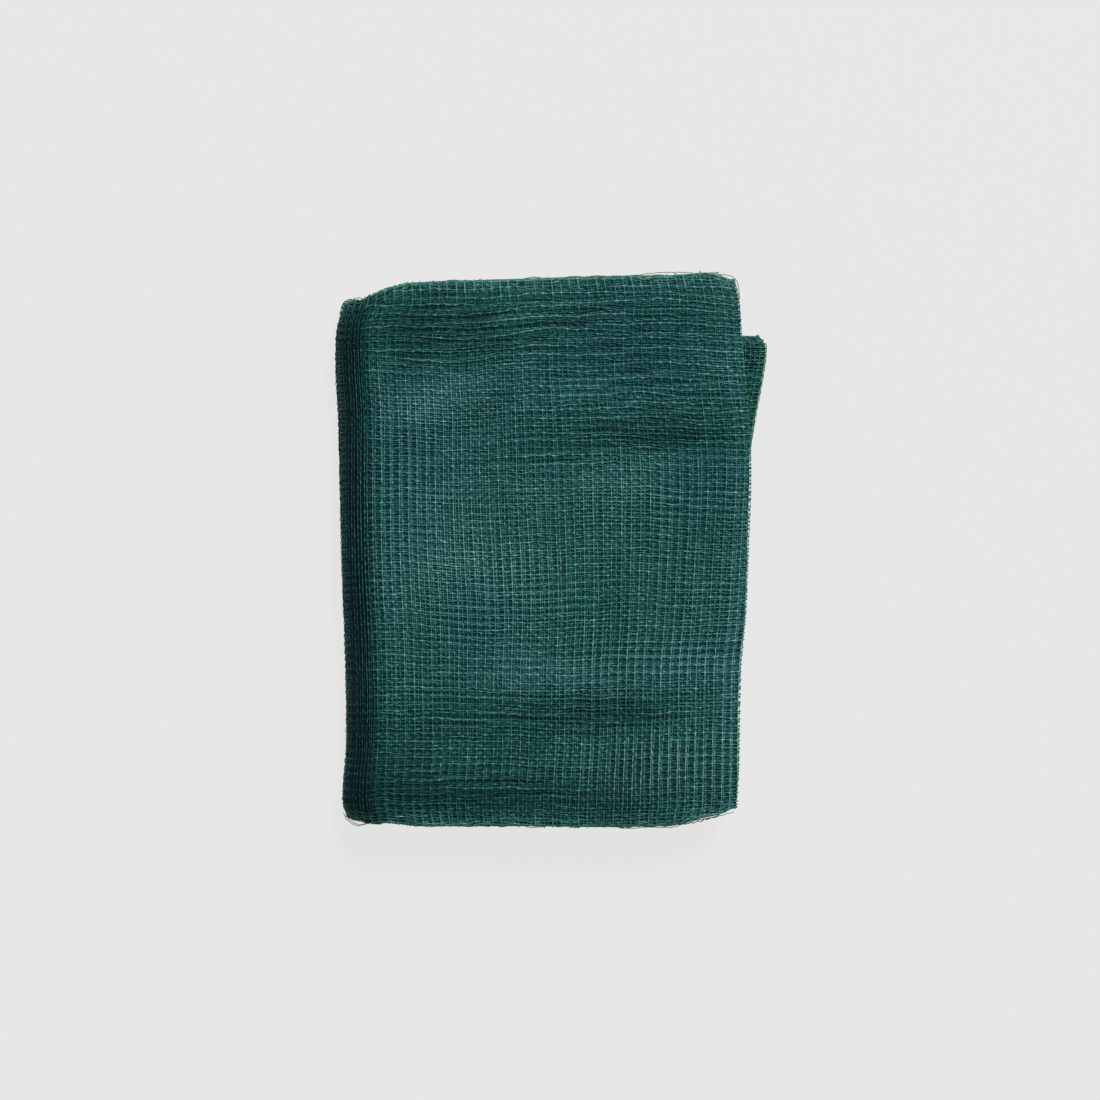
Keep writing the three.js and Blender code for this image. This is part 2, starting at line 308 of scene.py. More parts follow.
def section(share, across, inset_top, inset_bottom, place):
    """One stretch: rows at the shares of the way along the packet, stations at the places across. A
    station's y runs from its lower end to its upper one, each drawn in by its inset, and place gives x,
    z, out and thickness there."""
    low = bottom_end(across) + inset_bottom
    high = top_end(across) - inset_top
    corner = np.clip((across - FLAP_LEVEL) / FLAP_LEVEL_SPAN, 0, 1) * (np.max(inset_top) == FLAP_INSET)
    high = mix(high, np.minimum(high, FLAP_TOP), corner)
    y = mix(low[None, :], high[None, :], share[:, None])
    x, z, out_x, out_z, thick = np.broadcast_arrays(*place(y))
    return np.stack([x, y, z], -1), np.stack([out_x, np.zeros_like(x), out_z], -1), thick / 2


def level(share, layer, left, right, face, count, draw_in):
    """A layer between its folds: x goes evenly from the left one to the right one, or back where face is
    -1."""
    u = np.linspace(0, 1, count)[::face]

    def edges(y):
        """Where the layer's level part starts and stops."""
        if layer == LAYERS - 1:
            start = left_edge(y) + SPINE_WIDTH
        elif layer == 0:
            start = left_edge(y) + SPINE_UNDER
        else:
            start = turning_line(left, y, draw_in)
        return start, turning_line(right, y, draw_in)

    def place(y):
        """x evenly between the two, z and thickness those of the layer."""
        start, stop = edges(y)
        x = mix(start, stop, u)
        z, thick = layer_at(layer, x, y)
        return x, z, 0.0, float(face), thick

    start, stop = edges(np.zeros(1))
    insets = mix(left.top, right.top, u), mix(left.bottom, right.bottom, u)
    return section(share, mix(start, stop, u), *insets, place)


def turning_line(fold, y, draw_in):
    """Where the band begins to turn: half of two layers and a gap inside the fold's line, or on it at a
    free end."""
    line = fold_line(fold, y, draw_in)
    if fold.side == "free":
        return line
    side = -1 if fold.side == "left" else 1
    upper = LAYERS - 1 - FOLDS.index(fold)
    z_above, thick = layer_at(upper, line - side * FOLD_DEPTH, y)
    z_below, _ = layer_at(upper - 1, line - side * FOLD_DEPTH, y)
    return line - side * ((z_above - z_below) / 2 + thick / 2)


def turn(share, upper, fold, count, draw_in):
    """A fold down to the next layer: a half circle about the middle between the two."""
    side = -1 if fold.side == "left" else 1
    angle = np.linspace(np.pi / 2, -np.pi / 2, count)

    def place(y):
        """x = centre + side·r·cos(angle) and z = middle + r·sin(angle)."""
        centre = turning_line(fold, y, draw_in)
        z_above, thick_above = layer_at(upper, centre, y)
        z_below, thick_below = layer_at(upper - 1, centre, y)
        radius = (z_above - z_below) / 2
        x = centre + side * radius * np.cos(angle)
        z = (z_above + z_below) / 2 + radius * np.sin(angle)
        thick = mix(thick_above, thick_below, np.linspace(0, 1, count))
        return x, z, np.cos(angle), side * np.sin(angle), thick

    across = np.full(count, turning_line(fold, np.zeros(1), draw_in)[0])
    return section(share, across, fold.top, fold.bottom, place)


def quarter(share, count, layer, width, way, power, ease):
    """A quarter superellipse between the spine's outermost line and a layer so much further in, up to it
    (way 1) or back from it (way -1): x falls with cos^(2/n), z goes towards the layer's with sin^(2/n),
    and the thickness with sin^ease."""
    angle = np.linspace(0, np.pi / 2, count)[::way]
    cos, sin = np.maximum(np.cos(angle), 0), np.sin(angle)
    steep = 2 - 2 / power

    def place(y):
        """The superellipse, and its own direction outwards."""
        z_layer, thick = layer_at(layer, left_edge(y) + width, y)
        wide = width - SPINE_BAND / 2
        high = z_layer - SPINE_LOW
        x = left_edge(y) + width - wide * cos ** (2 / power)
        z = SPINE_LOW + high * sin ** (2 / power)
        length = np.hypot(cos**steep / wide, sin**steep / high)
        thick = mix(SPINE_BAND, thick, sin**ease)
        return x, z, -(cos**steep) / wide / length, sin**steep / high / length, thick

    across = left_edge(np.zeros(1)) + width * (1 - cos ** (2 / power))
    return section(share, across, 0.0, 0.0, place)


# %% The whole band
def band_grid(share, across_top, across_layer, across_fold, draw_in=0.0):
    """All the stretches in order, joined without their doubled stations. Marks gives the name and first
    and last station of each stretch, and cloth is how far along the band a station lies, measured in the
    middle row."""
    stretches = [
        ("underside", level(share, 0, SPINE, UNDERSIDE_END, -1, across_layer, draw_in)),
        ("under turn", quarter(share, across_fold, 0, SPINE_UNDER, -1, UNDER_ROUND, UNDER_EASE)),
        ("spine", quarter(share, 3 * across_fold, LAYERS - 1, SPINE_WIDTH, 1, SPINE_ROUND, SPINE_EASE)),
    ]
    left = SPINE
    for i, fold in enumerate(FOLDS):
        layer = LAYERS - 1 - i
        count = across_layer if i else across_top
        if fold.side == "left":
            left, right, face = fold, FOLDS[i - 1], -1
        else:
            right, face = fold, 1
        stretches.append((f"layer {layer}", level(share, layer, left, right, face, count, draw_in)))
        if fold.side != "free":
            stretches.append((f"fold {layer}", turn(share, layer, fold, across_fold, draw_in)))
    marks, at = {}, 0
    for name, (points, _, _) in stretches:
        marks[name] = (at, at + points.shape[1] - 1)
        at += points.shape[1] - 1
    parts = [part for _, part in stretches]
    joined = [np.concatenate([part[k][:, (n > 0):] for n, part in enumerate(parts)], 1) for k in range(3)]
    middle = joined[0][len(share) // 2]
    steps = np.linalg.norm(np.diff(middle, axis=0), axis=1)
    return with_relief(Grid(*joined, marks, np.concatenate(([0], np.cumsum(steps)))))


# %% [markdown]
# ## Small waves of the top
#
# Where the plies are pushed together, the net lies in rows of small waves, and its courses gather on the
# crests. The upper third is full of them, and so is the lower end. Each row below is one patch of waves:
# where it is, how far it reaches, how it is turned, its wavelength and its height.

# %% Patches of small waves
Waves = namedtuple("Waves", "x y long wide turn length rise")
TOP_WAVES = [Waves(*row) for row in (
    (20, 174, 150, 26, 2.5, 9.8, 0.8),  # along the upper end
    (-75, 152, 60, 20, 3, 9.4, 0.7),  # its left part
    (-95, 180, 50, 18, 1, 8.6, 0.55),  # above that, beside the spine
    (78, 118, 85, 34, 4, 9.4, 0.7),  # right half, above the groove
    (62, 76, 85, 17, 3, 8.4, 0.6),  # in and under it
    (-60, 68, 60, 13, 3, 8.4, 0.4),  # left of the groove
    (-35, 30, 60, 22, 0, 7.8, 0.2),  # faint ones in the middle
    (85, -8, 60, 30, 1, 8.2, 0.25),  # and on the right
    (20, -126, 90, 24, -4, 8.8, 0.65),  # lower middle
    (-90, -128, 45, 26, 1, 8.4, 0.4),  # beside the spine
    (-45, -182, 110, 20, 0, 8.2, 0.65),  # lower end
    (95, -176, 45, 22, 5, 7.8, 0.35),  # lower right corner
)]
GATHER_RISE = 0.9 * MM  # waves this high draw all the courses to their crests
WAVES = 9  # sines in one unevenness
WAVE_STRETCH = (0.65, 1.6)  # their lengths, as shares of the wave asked for
PHASE_SEED = 501
PHASE_SLOW, PHASE_QUICK = (110 * MM, 1.1 * MM), (34 * MM, 0.55 * MM)  # wave and size of the crests' wobble


def unit(vectors):
    """Each vector divided by its own length."""
    return vectors / np.maximum(np.linalg.norm(vectors, axis=-1, keepdims=True), 1e-12)


def wander(cloth, along, seed, wave, size):
    """A smooth unevenness: the sum of nine sines in drawn directions, each about `wave` long, with root
    mean square `size`."""
    least, most = WAVE_STRETCH
    draws = np.random.default_rng(seed).uniform((0, least, 0), (np.pi, most, 2 * np.pi), (WAVES, 3))
    total = 0.0
    for turned, stretch, phase in draws:
        reach = (cloth * math.cos(turned) + along * math.sin(turned)) / (wave * stretch)
        total = total + np.sin(2 * np.pi * reach + phase)
    return size * total / math.sqrt(WAVES / 2)


def small_waves(x, y):
    """Rise = the sum of rise·w·cos(phase) and pull = that of -share·w·length/2π·sin(phase), which moves a
    course towards the nearest crest. The phase grows across each patch, with a slow wobble, and w is the
    patch's bell."""
    rise, pull = np.zeros(np.broadcast(x, y).shape), np.zeros(np.broadcast(x, y).shape)
    wobble = wander(x, y, PHASE_SEED, *PHASE_SLOW) + wander(x, y, PHASE_SEED + 1, *PHASE_QUICK)
    for one in TOP_WAVES:
        along, across = in_frame(one, x, y)
        weight = bell(one, along, across)
        phase = 2 * np.pi * (across + wobble) / (one.length * MM)
        rise += one.rise * MM * weight * np.cos(phase)
        pull -= min(one.rise * MM / GATHER_RISE, 1) * weight * one.length * MM / (2 * np.pi) * np.sin(phase)
    return rise, pull


def with_relief(grid):
    """The grid with the small waves on its top stretch, and with its true outward directions: the cross
    product of the steps along the band and the steps along the packet."""
    first, last = grid.marks[f"layer {LAYERS - 1}"]
    on_top = np.zeros(grid.points.shape[1])
    on_top[first:last + 1] = np.sqrt(np.sin(np.pi * np.linspace(0, 1, last - first + 1)))
    rise, _ = small_waves(grid.points[..., 0], grid.points[..., 1])
    points = grid.points + grid.out * (rise * on_top)[..., None]
    out = unit(np.cross(np.gradient(points, axis=1), np.gradient(points, axis=0)))
    return grid._replace(points=points, out=out)


FINE_ROWS = 301
FINE_STATIONS = (121, 61, 13)  # across the top, across any other layer, and round a fold
band = band_grid(np.linspace(0, 1, FINE_ROWS), *FINE_STATIONS)
PACKET_LENGTH = float(top_end(0.0) - bottom_end(0.0))
print("band", round(band.cloth[-1], 3), "m long, packet", round(PACKET_LENGTH, 3), "m")


# %% [markdown]
# ## Laying things on the band
#
# A place on the cloth is its distance along the band and its share of the way along the packet. Between
# the grid's points the place is read straight from the four around it, which is cheap for whole arrays of
# yarns.

# %% Reading the grid
NEVER_LAST = 0.001  # keeps a place a little before the last point, so that there is always a next one


def on_band(cloth, share):
    """Point, outward direction and half thickness: the mean of the four grid points around, weighted by
    nearness. Beyond a band's end the point goes on straight."""
    rows, stations = band.points.shape[:2]
    cloth, share = np.broadcast_arrays(cloth, share)
    inside = np.clip(share, 0, 1)
    i = np.clip(inside * (rows - 1), 0, rows - 1 - NEVER_LAST)
    j = np.clip(np.interp(cloth, band.cloth, np.arange(stations)), 0, stations - 1 - NEVER_LAST)
    i0, j0 = i.astype(int), j.astype(int)
    wi, wj = i - i0, j - j0

    def read(values):
        """The four values around, weighted."""
        weigh = (1 - wi, wi, 1 - wj, wj)
        if values.ndim == 3:
            weigh = [w[..., None] for w in weigh]
        near_row = values[i0, j0] * weigh[2] + values[i0, j0 + 1] * weigh[3]
        next_row = values[i0 + 1, j0] * weigh[2] + values[i0 + 1, j0 + 1] * weigh[3]
        return near_row * weigh[0] + next_row * weigh[1]

    points = read(band.points)
    points[..., 1] += (share - inside) * PACKET_LENGTH
    return points, unit(read(band.out)), read(band.half)


END_CLEAR = 1.6 * MM  # plies stop this far from the band's ends, where the loops take over
END_SETTLE, END_SOFT = 0.8, 3  # how much of that they use after all, and over how many times as much


def straight_share(cloth, along):
    """The share of the way along the packet at which a place lies whose y grows evenly with `along`, so
    that courses run straight whatever the outline does. A place past either end comes back to near it:
    inside + settle·clear·(1 - exp(-past / (soft·clear)))."""
    low = np.interp(cloth, band.cloth, band.points[0, :, 1])
    high = np.interp(cloth, band.cloth, band.points[-1, :, 1])
    y = float(bottom_end(0.0)) + along
    length = high - low
    inside = np.clip(y, low + END_CLEAR, high - END_CLEAR)
    past = np.abs(y - inside)
    settled = END_SETTLE * END_CLEAR * (1 - np.exp(-past / (END_SOFT * END_CLEAR)))
    return (inside + np.sign(y - inside) * settled - low) / length


def reach_of(name):
    """How far along the band a stretch begins, and how far along it stops."""
    return tuple(band.cloth[station] for station in band.marks[name])


# %% [markdown]
# ## Patches of shade and cast
#
# A net of many plies is not one green. Where the plies are pressed together it is a bluer green. Light and
# shade of the ridges, grooves and slopes are painted on as lighter and darker patches, in part also where
# the net lies denser. Where few plies lie over each other, as at the rims, light comes through, and that is
# painted on as a lighter and purer green. Each patch is a bell: its middle, how far it reaches both ways
# and its strength.

# %% Patches
Spot = namedtuple("Spot", "x y long wide value")
# Painted light and shade: lighter where ridges and slopes face the light, darker on slopes away from it, in
# part also denser net.
LIGHT_AND_SHADE_SPOTS = [Spot(*row) for row in (
    (-98, 105, 22, 13, 0.6), (-72, 125, 24, 13, 0.6),  # the slanting ridge
    (-28, 176, 24, 20, 0.4), (-52, 176, 12, 10, -0.4), (-108, 160, 16, 22, -0.3),
    (37, 113, 60, 17, 0.6), (120, 140, 24, 36, 0.5), (50, 168, 110, 32, 0.5),
    (-95, 168, 50, 26, 0.3), (0, 125, 30, 30, 0.2),
    (109, 87, 36, 9, -0.2), (30, 82, 60, 8, -0.05),  # the groove's dark slope
    (56, 52, 28, 20, 0.4), (-55, -19, 80, 22, 0.35), (-20, 15, 70, 40, 0.12),
    (45, -38, 11, 45, -0.3), (125, 20, 16, 30, -0.15), (108, -20, 40, 12, 0.2),
    (-8, -96, 50, 16, 0.3), (100, -88, 40, 10, 0.35), (-95, -75, 35, 8, -0.25),
    (60, -124, 30, 12, -0.35), (58, -160, 26, 22, -0.4), (55, -196, 24, 12, -0.6),
    (-45, -155, 60, 24, -0.45), (-40, -190, 110, 18, -0.35), (-137, -150, 14, 70, -0.3),
    (110, -165, 26, 25, 0.1), (-112, -168, 24, 42, -0.45), (-105, 172, 30, 24, -0.35),
)]
BLUER = [Spot(*row) for row in (
    (-102, 82, 28, 45, 1.0), (-38, 124, 30, 15, 0.7), (60, 150, 45, 30, 0.8),
    (-106, 15, 20, 20, 0.7), (116, 56, 20, 25, 0.7), (-53, -53, 22, 25, 0.6),
    (-136, -53, 10, 60, 0.5), (105, -87, 35, 10, 0.4), (-8, 33, 45, 12, -0.3),
    (-76, 22, 15, 12, -0.25), (45, -38, 50, 30, -0.25), (-38, 161, 20, 20, -0.2),
)]
RIM_REACH = 8 * MM  # the rims' painted light and purer green reach over this
SPINE_RIM, RIGHT_RIM = 3, 3  # and over this many times less at the spine and at the right folds
RIM_CAST = -0.5  # cast at the packet's outline: the purer green of the light that comes through it, painted on
FLAP_FROM = 1.2 * MM  # the corner that stands out is bare from this far beyond the right edge
FLAP_CAST = -0.2  # and on the corner that stands out
FLAP_PAINTED_SHADOW, FLAP_PAINTED_LIGHT = 0.9, 0.8  # painted shadow of the packet on the corner beside it, and painted light coming through at its edge
SPINE_PAINTED_SHADE = 1.0  # painted shade: how much darker the plies are on the spine, which faces away from the light
SPINE_FROM, SPINE_TO, SPINE_SOFT = 0.5 * MM, 24 * MM, 5 * MM  # where, and how soft its two sides are


def spots(rows, x, y):
    """The sum of value·bell over the spots."""
    total = np.zeros(np.broadcast(x, y).shape)
    for one in rows:
        total += one.value * bell(one, x - one.x * MM, y - one.y * MM)
    return total


def spine_share(x, y):
    """1 on the spine's dark face, falling to 0 at its outermost line and where the top begins."""
    inward = x - left_edge(y)
    begins = np.clip((inward - SPINE_FROM) / SPINE_SOFT, 0, 1)
    return begins * np.clip((SPINE_TO - inward) / SPINE_SOFT, 0, 1)


def on_flap(x, y):
    """Share of the way from the packet's right edge to the edge of the corner that stands out, 0 on the
    packet."""
    inner = right_edge(y) + FLAP_FROM
    return np.clip((x - inner) / np.maximum(flap_edge(y) - inner, MM), 0, 1)


def at_rim(x, y):
    """1 at the packet's outline, falling to 0 at RIM_REACH inside, and share² on the corner that stands
    out."""
    sides = np.minimum(SPINE_RIM * (x - left_edge(y)), RIGHT_RIM * (right_edge(y) - x))
    ends = np.minimum(top_end(x) - y, y - bottom_end(x))
    rim = near(np.maximum(np.minimum(sides, ends), 0), RIM_REACH)
    return np.where(on_flap(x, y) > 0, on_flap(x, y) ** 2, rim)


def cast_at(points):
    """From -1, green, to 1, blue: the sum of the patches, RIM_CAST at the outline, FLAP_CAST where it
    stands out."""
    x, y = points[:, 0], points[:, 1]
    return np.clip(spots(BLUER, x, y) + RIM_CAST * at_rim(x, y) + FLAP_CAST * (on_flap(x, y) > 0), -1, 1)


# %% [markdown]
# ## Meshes from arrays
#
# One function puts arrays into a mesh, and one turns the middle lines of many yarns into closed tubes at
# once. A yarn is a bundle of soft strands, so its shading leans towards the cloth's own direction.
# Without that, round tubes look the same on a slope as on the level, and the creases would not show.

# %% Arrays into meshes
Tubes = namedtuple("Tubes", "points normals faces reach shade")
LEAN = 0.6  # how far a yarn's shading leans towards the cloth's


def new_piece(name, points, normals, faces, material, cloth_uv, tone):
    """A mesh from points, their normals and a list of face arrays, each with its own number of corners.
    The UV map holds places on the cloth in metres, tone a shade for each point, and cast how blue or
    green it is there."""
    mesh = bpy.data.meshes.new(name)
    corners = np.concatenate([part.ravel() for part in faces]).astype(np.int32)
    sizes = np.concatenate([np.full(len(part), part.shape[1]) for part in faces])
    mesh.vertices.add(len(points))
    mesh.vertices.foreach_set("co", points.astype(np.float32).ravel())
    mesh.loops.add(len(corners))
    mesh.loops.foreach_set("vertex_index", corners)
    mesh.polygons.add(len(sizes))
    mesh.polygons.foreach_set("loop_start", np.concatenate(([0], np.cumsum(sizes)[:-1])).astype(np.int32))
    mesh.update(calc_edges=True)
    mesh.polygons.foreach_set("use_smooth", np.ones(len(sizes), bool))
    mesh.normals_split_custom_set_from_vertices(normals.astype(np.float32))
    uv = mesh.uv_layers.new(name="cloth")
    uv.data.foreach_set("uv", cloth_uv[corners].astype(np.float32).ravel())
    for label, values in (("tone", tone), ("cast", cast_at(points))):
        attribute = mesh.attributes.new(label, "FLOAT", "POINT")
        attribute.data.foreach_set("value", values.astype(np.float32).ravel())
    mesh.materials.append(material)
    piece = new_object(name, mesh)
    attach(piece, "root")
    print(name, int((sizes - 2).sum()), "triangles")
    return piece


def tubes(centres, out, wide, thick, sides, shade=0.0):
    """Rings round each yarn's middle line: centre + wide·cos(a)·sideways + thick·sin(a)·up, sideways =
    tangent × out. A ring's normals are those of its ellipse, leant towards out on the upper half. Both
    ends are closed, and no middle line comes nearer to the floor than the yarn's half width."""
    centres = np.stack([centres[..., 0], centres[..., 1], np.maximum(centres[..., 2], wide)], -1)
    tangent = unit(np.gradient(centres, axis=1))
    sideways = unit(np.cross(tangent, out))[:, :, None]
    up = np.cross(sideways, tangent[:, :, None])
    angle = 2 * np.pi * np.arange(sides) / sides + np.pi / 2
    cos, sin = np.cos(angle)[:, None], np.sin(angle)[:, None]
    wide, thick = (np.broadcast_to(size, centres.shape[:2])[..., None, None] for size in (wide, thick))
    points = centres[:, :, None] + wide * cos * sideways + thick * sin * up
    own = unit(thick * cos * sideways + wide * sin * up)
    normals = unit(mix(own, out[:, :, None], LEAN * np.clip(1 + sin, 0, 1)))
    yarns, rings = centres.shape[:2]
    index = np.arange(yarns * rings * sides).reshape(yarns, rings, sides)
    a, b = index[:, :-1], index[:, 1:]
    quads = np.stack([a, b, np.roll(b, -1, 2), np.roll(a, -1, 2)], -1).reshape(-1, 4)
    steps = np.linalg.norm(np.diff(centres, axis=1), axis=2)
    reach = np.concatenate([np.zeros((yarns, 1)), np.cumsum(steps, 1)], 1)
    shade = np.broadcast_to(shade, reach.shape)
    return Tubes(points, normals, [quads, index[:, 0], index[:, -1, ::-1]], reach, shade)


YARN_TONE = 0.12  # spread of shade from yarn to yarn
SLOW_TONE, SLOW_WAVE = 0.15, 95 * MM  # and along one yarn, slowly
SLOW_STRETCH = (0.7, 1.5)  # the length of that change, as shares of SLOW_WAVE
POINT_TONE = 0.4  # and from point to point, where it dips among its neighbours


def join_tubes(name, parts, material, seed):
    """Many tube sets as one piece. Tone is the set's own shade, plus draws for each yarn and each of its
    points, and a slow sine along it."""
    draw = np.random.default_rng(seed)
    points, normals, faces, uvs, tones, count = [], [], [], [], [], 0
    for part in parts:
        yarns, rings, sides = part.points.shape[:3]
        tone = part.shade + YARN_TONE * draw.normal(0, 1, (yarns, 1))
        stretch, phase = draw.uniform(*SLOW_STRETCH, (yarns, 1)), draw.uniform(0, 2 * np.pi, (yarns, 1))
        tone = tone + SLOW_TONE * np.sin(2 * np.pi * part.reach / (SLOW_WAVE * stretch) + phase)
        tone = tone + POINT_TONE * draw.normal(0, 1, (yarns, rings))
        around = np.broadcast_to(np.arange(sides) / sides * MM, (yarns, rings, sides))
        along = np.broadcast_to(part.reach[..., None], (yarns, rings, sides))
        points.append(part.points.reshape(-1, 3))
        normals.append(part.normals.reshape(-1, 3))
        uvs.append(np.stack([along, around], -1).reshape(-1, 2))
        tones.append(np.broadcast_to(tone[..., None], (yarns, rings, sides)).ravel())
        faces.extend(corners + count for corners in part.faces)
        count += yarns * rings * sides
    return new_piece(name, np.concatenate(points), np.concatenate(normals), faces, material,
                     np.concatenate(uvs), np.concatenate(tones))


# %% [markdown]
# ## Colour
#
# Colours are chosen as sRGB hex, as a picker shows them, and turned to the linear values that a renderer
# works with. One small function adds a node with its settings and links.

# %% Colour and node helpers
def linear(colour):
    """sRGB hex to linear RGBA: c / 12.92 up to 0.04045, and ((c + 0.055) / 1.055)^2.4 above."""
    parts = [int(colour[i:i + 2], 16) / 255 for i in (1, 3, 5)]
    return [c / 12.92 if c <= 0.04045 else ((c + 0.055) / 1.055) ** 2.4 for c in parts] + [1.0]


def set_inputs(tree, node, inputs):
    """Each input is linked where its value is a socket, and set to the value where it is not."""
    for key, value in dict(inputs).items():
        if isinstance(value, bpy.types.NodeSocket):
            tree.links.new(value, node.inputs[key])
        else:
            node.inputs[key].default_value = value


def add(tree, kind, inputs=(), **settings):
    """A shader node of this kind with its settings and inputs."""
    node = tree.nodes.new("ShaderNode" + kind)
    for name, value in settings.items():
        setattr(node, name, value)
    set_inputs(tree, node, inputs)
    return node


def set_ramp(node, stops):
    """A colour ramp's stops, each a place and an sRGB hex."""
    ramp = node.color_ramp
    while len(ramp.elements) < len(stops):
        ramp.elements.new(0.5)
    for element, (at, colour) in zip(ramp.elements, stops):
        element.position = at
        element.color = linear(colour)


def new_material(name):
    """A material with nodes, its node tree and its surface shader."""
    material = bpy.data.materials.new(name)
    material.use_nodes = True
    tree = material.node_tree
    return material, tree, tree.nodes["Principled BSDF"]


# %% [markdown]
# ## Knitted polyethylene yarn
#
# The yarn is drawn polyethylene film, slit and knitted: tough, a little waxy, and dyed through in dark
# green. The eye gets a soft sheen along each yarn, small changes of shade from yarn to yarn, and here and
# there a bluer or a greener cast where the dye lots and the light differ. Its index is 1.51, and it is
# neither matt nor glossy.

# %% Yarn material
POLYETHYLENE_IOR = 1.51
YARN_STOPS = ((0.0, "#092c2d"), (0.3, "#1b5352"), (0.5, "#337a77"), (0.72, "#659f9d"), (1.0, "#abcdcc"))
CAST_STOPS = ((0.0, "#c8ffc6"), (0.5, "#f7f7f7"), (1.0, "#f2eeff"))  # green, neutral, blue
TONE_REACH = 2.6  # tones run from minus to plus this
YARN_ROUGHNESS = 0.5
YARN_MIRROR = 0.25  # fine yarn scatters most of what a smooth film would mirror
FIBRE_SIZE = 1.3 * MM  # specks along a yarn, drawn as coarse as they need to show
FIBRE_DARK, FIBRE_LIGHT = 0.45, 1.5  # what they multiply the colour by
NOISE_LOW, NOISE_HIGH = 0.3, 0.7  # nearly all of a noise lies between these


def times(tree, colour, other):
    """One colour multiplied by another, or by a value."""
    inputs = {0: 1.0, 6: colour, 7: other}
    return add(tree, "Mix", inputs, data_type="RGBA", blend_type="MULTIPLY").outputs[2]


def speckle(tree, place, size, detail, dark, light):
    """A noise of that size, stretched so that it goes from dark to light."""
    noise = add(tree, "TexNoise", {"Vector": place, "Scale": 1 / size, "Detail": detail}).outputs["Fac"]
    return add(tree, "MapRange", {0: noise, 1: NOISE_LOW, 2: NOISE_HIGH, 3: dark, 4: light}).outputs[0]


def set_surface(tree, shader, colour, roughness, mirror):
    """A polyethylene surface: its colour, how rough it is, and how much of the light its skin mirrors."""
    set_inputs(tree, shader, {"Base Color": colour, "Roughness": roughness, "IOR": POLYETHYLENE_IOR,
                              "Specular IOR Level": mirror})


def with_cast(tree, colour):
    """The colour times the cast ramp, read at 0.5 + cast / 2."""
    cast = add(tree, "Attribute", attribute_name="cast").outputs["Fac"]
    at = add(tree, "MapRange", {0: cast, 1: -1.0, 2: 1.0}).outputs[0]
    ramp = add(tree, "ValToRGB", {0: at})
    set_ramp(ramp, CAST_STOPS)
    return times(tree, colour, ramp.outputs[0])


yarn, tree, shader = new_material("knitted_polyethylene_yarn")
place = add(tree, "TexCoord").outputs["Object"]
tone = add(tree, "Attribute", attribute_name="tone").outputs["Fac"]
shade = add(tree, "MapRange", {0: tone, 1: -TONE_REACH, 2: TONE_REACH}).outputs[0]
ramp = add(tree, "ValToRGB", {0: shade})
set_ramp(ramp, YARN_STOPS)
fibre = speckle(tree, place, FIBRE_SIZE, 2.0, FIBRE_DARK, FIBRE_LIGHT)
yarn_colour = times(tree, with_cast(tree, ramp.outputs[0]), fibre)
set_surface(tree, shader, yarn_colour, YARN_ROUGHNESS, YARN_MIRROR)
print("yarn shades", [colour for _, colour in YARN_STOPS])

# %% [markdown]
# ## The plies underneath
#
# Below the outer yarns the eye meets more plies, each a little darker and out of step with the last,
# until no light comes back. The core carries them as a pattern in the cloth's own coordinates: yarn lines
# at half the net's pitches on a nearly black green, with the same lines in its bump. Little is mirrored
# down there, so the sheen of its surface is turned down.

# %% Core material
WALE_PITCH = 6.93 * MM  # cells are this wide
COURSE_PITCH = 5.8 * MM  # and this high
# The core's nearly black green is painted shade of the plies deep in the stack.
CORE_STOPS = ((0.0, "#092c2d"), (0.45, "#154c4c"), (1.0, "#347473"))
WOBBLE = 1.1 * MM  # how far the drawn lines stray
WOBBLE_SIZE = 24 * MM
MOTTLE_SIZE = 3.2 * MM  # the drawn lines fade in and out over this
WALE_LINE, COURSE_LINE = 0.3, 0.36  # half widths, as shares of half a pitch
WALE_STRENGTH, COURSE_STRENGTH = 0.65, 1.0
MOTTLE_DARK, MOTTLE_LIGHT = 0.35, 1.15
TONE_SHARE = 0.25  # how much of its tone the core shows
CORE_ROUGHNESS, CORE_MIRROR = 0.75, 0.05
BUMP_STRENGTH, BUMP_HEIGHT = 0.6, 0.4 * MM

deep_plies, tree, shader = new_material("deeper_plies_of_the_net")
cloth_uv = add(tree, "UVMap", uv_map="cloth").outputs[0]
tone = add(tree, "Attribute", attribute_name="tone").outputs["Fac"]
stray = add(tree, "TexNoise", {"Vector": cloth_uv, "Scale": 1 / WOBBLE_SIZE, "Detail": 2.0})
centred = add(tree, "VectorMath", {0: stray.outputs["Color"], 1: (0.5, 0.5, 0.5)}, operation="SUBTRACT")
strayed = add(tree, "VectorMath", {0: centred.outputs[0], "Scale": 4 * WOBBLE}, operation="SCALE")
moved_uv = add(tree, "VectorMath", {0: cloth_uv, 1: strayed.outputs[0]}, operation="ADD").outputs[0]
half_cells = (2 / WALE_PITCH, 2 / COURSE_PITCH, 0)
cells = add(tree, "VectorMath", {0: moved_uv, 1: half_cells}, operation="MULTIPLY").outputs[0]
split = add(tree, "SeparateXYZ", {0: cells})
lines = []
for axis, width, strength in ((0, WALE_LINE, WALE_STRENGTH), (1, COURSE_LINE, COURSE_STRENGTH)):
    beat = add(tree, "Math", {0: split.outputs[axis], 1: 0.5}, operation="PINGPONG").outputs[0]
    lines.append(add(tree, "MapRange", {0: beat, 1: 0.0, 2: width, 3: strength, 4: 0.0},
                     interpolation_type="SMOOTHSTEP").outputs[0])
drawn = add(tree, "Math", {0: lines[0], 1: lines[1]}, operation="MAXIMUM").outputs[0]
mottle = speckle(tree, cloth_uv, MOTTLE_SIZE, 1.0, MOTTLE_DARK, MOTTLE_LIGHT)
uneven = add(tree, "Math", {0: drawn, 1: mottle}, operation="MULTIPLY").outputs[0]
height = add(tree, "Math", {0: tone, 1: TONE_SHARE, 2: uneven}, operation="MULTIPLY_ADD").outputs[0]
core_ramp = add(tree, "ValToRGB", {0: height})
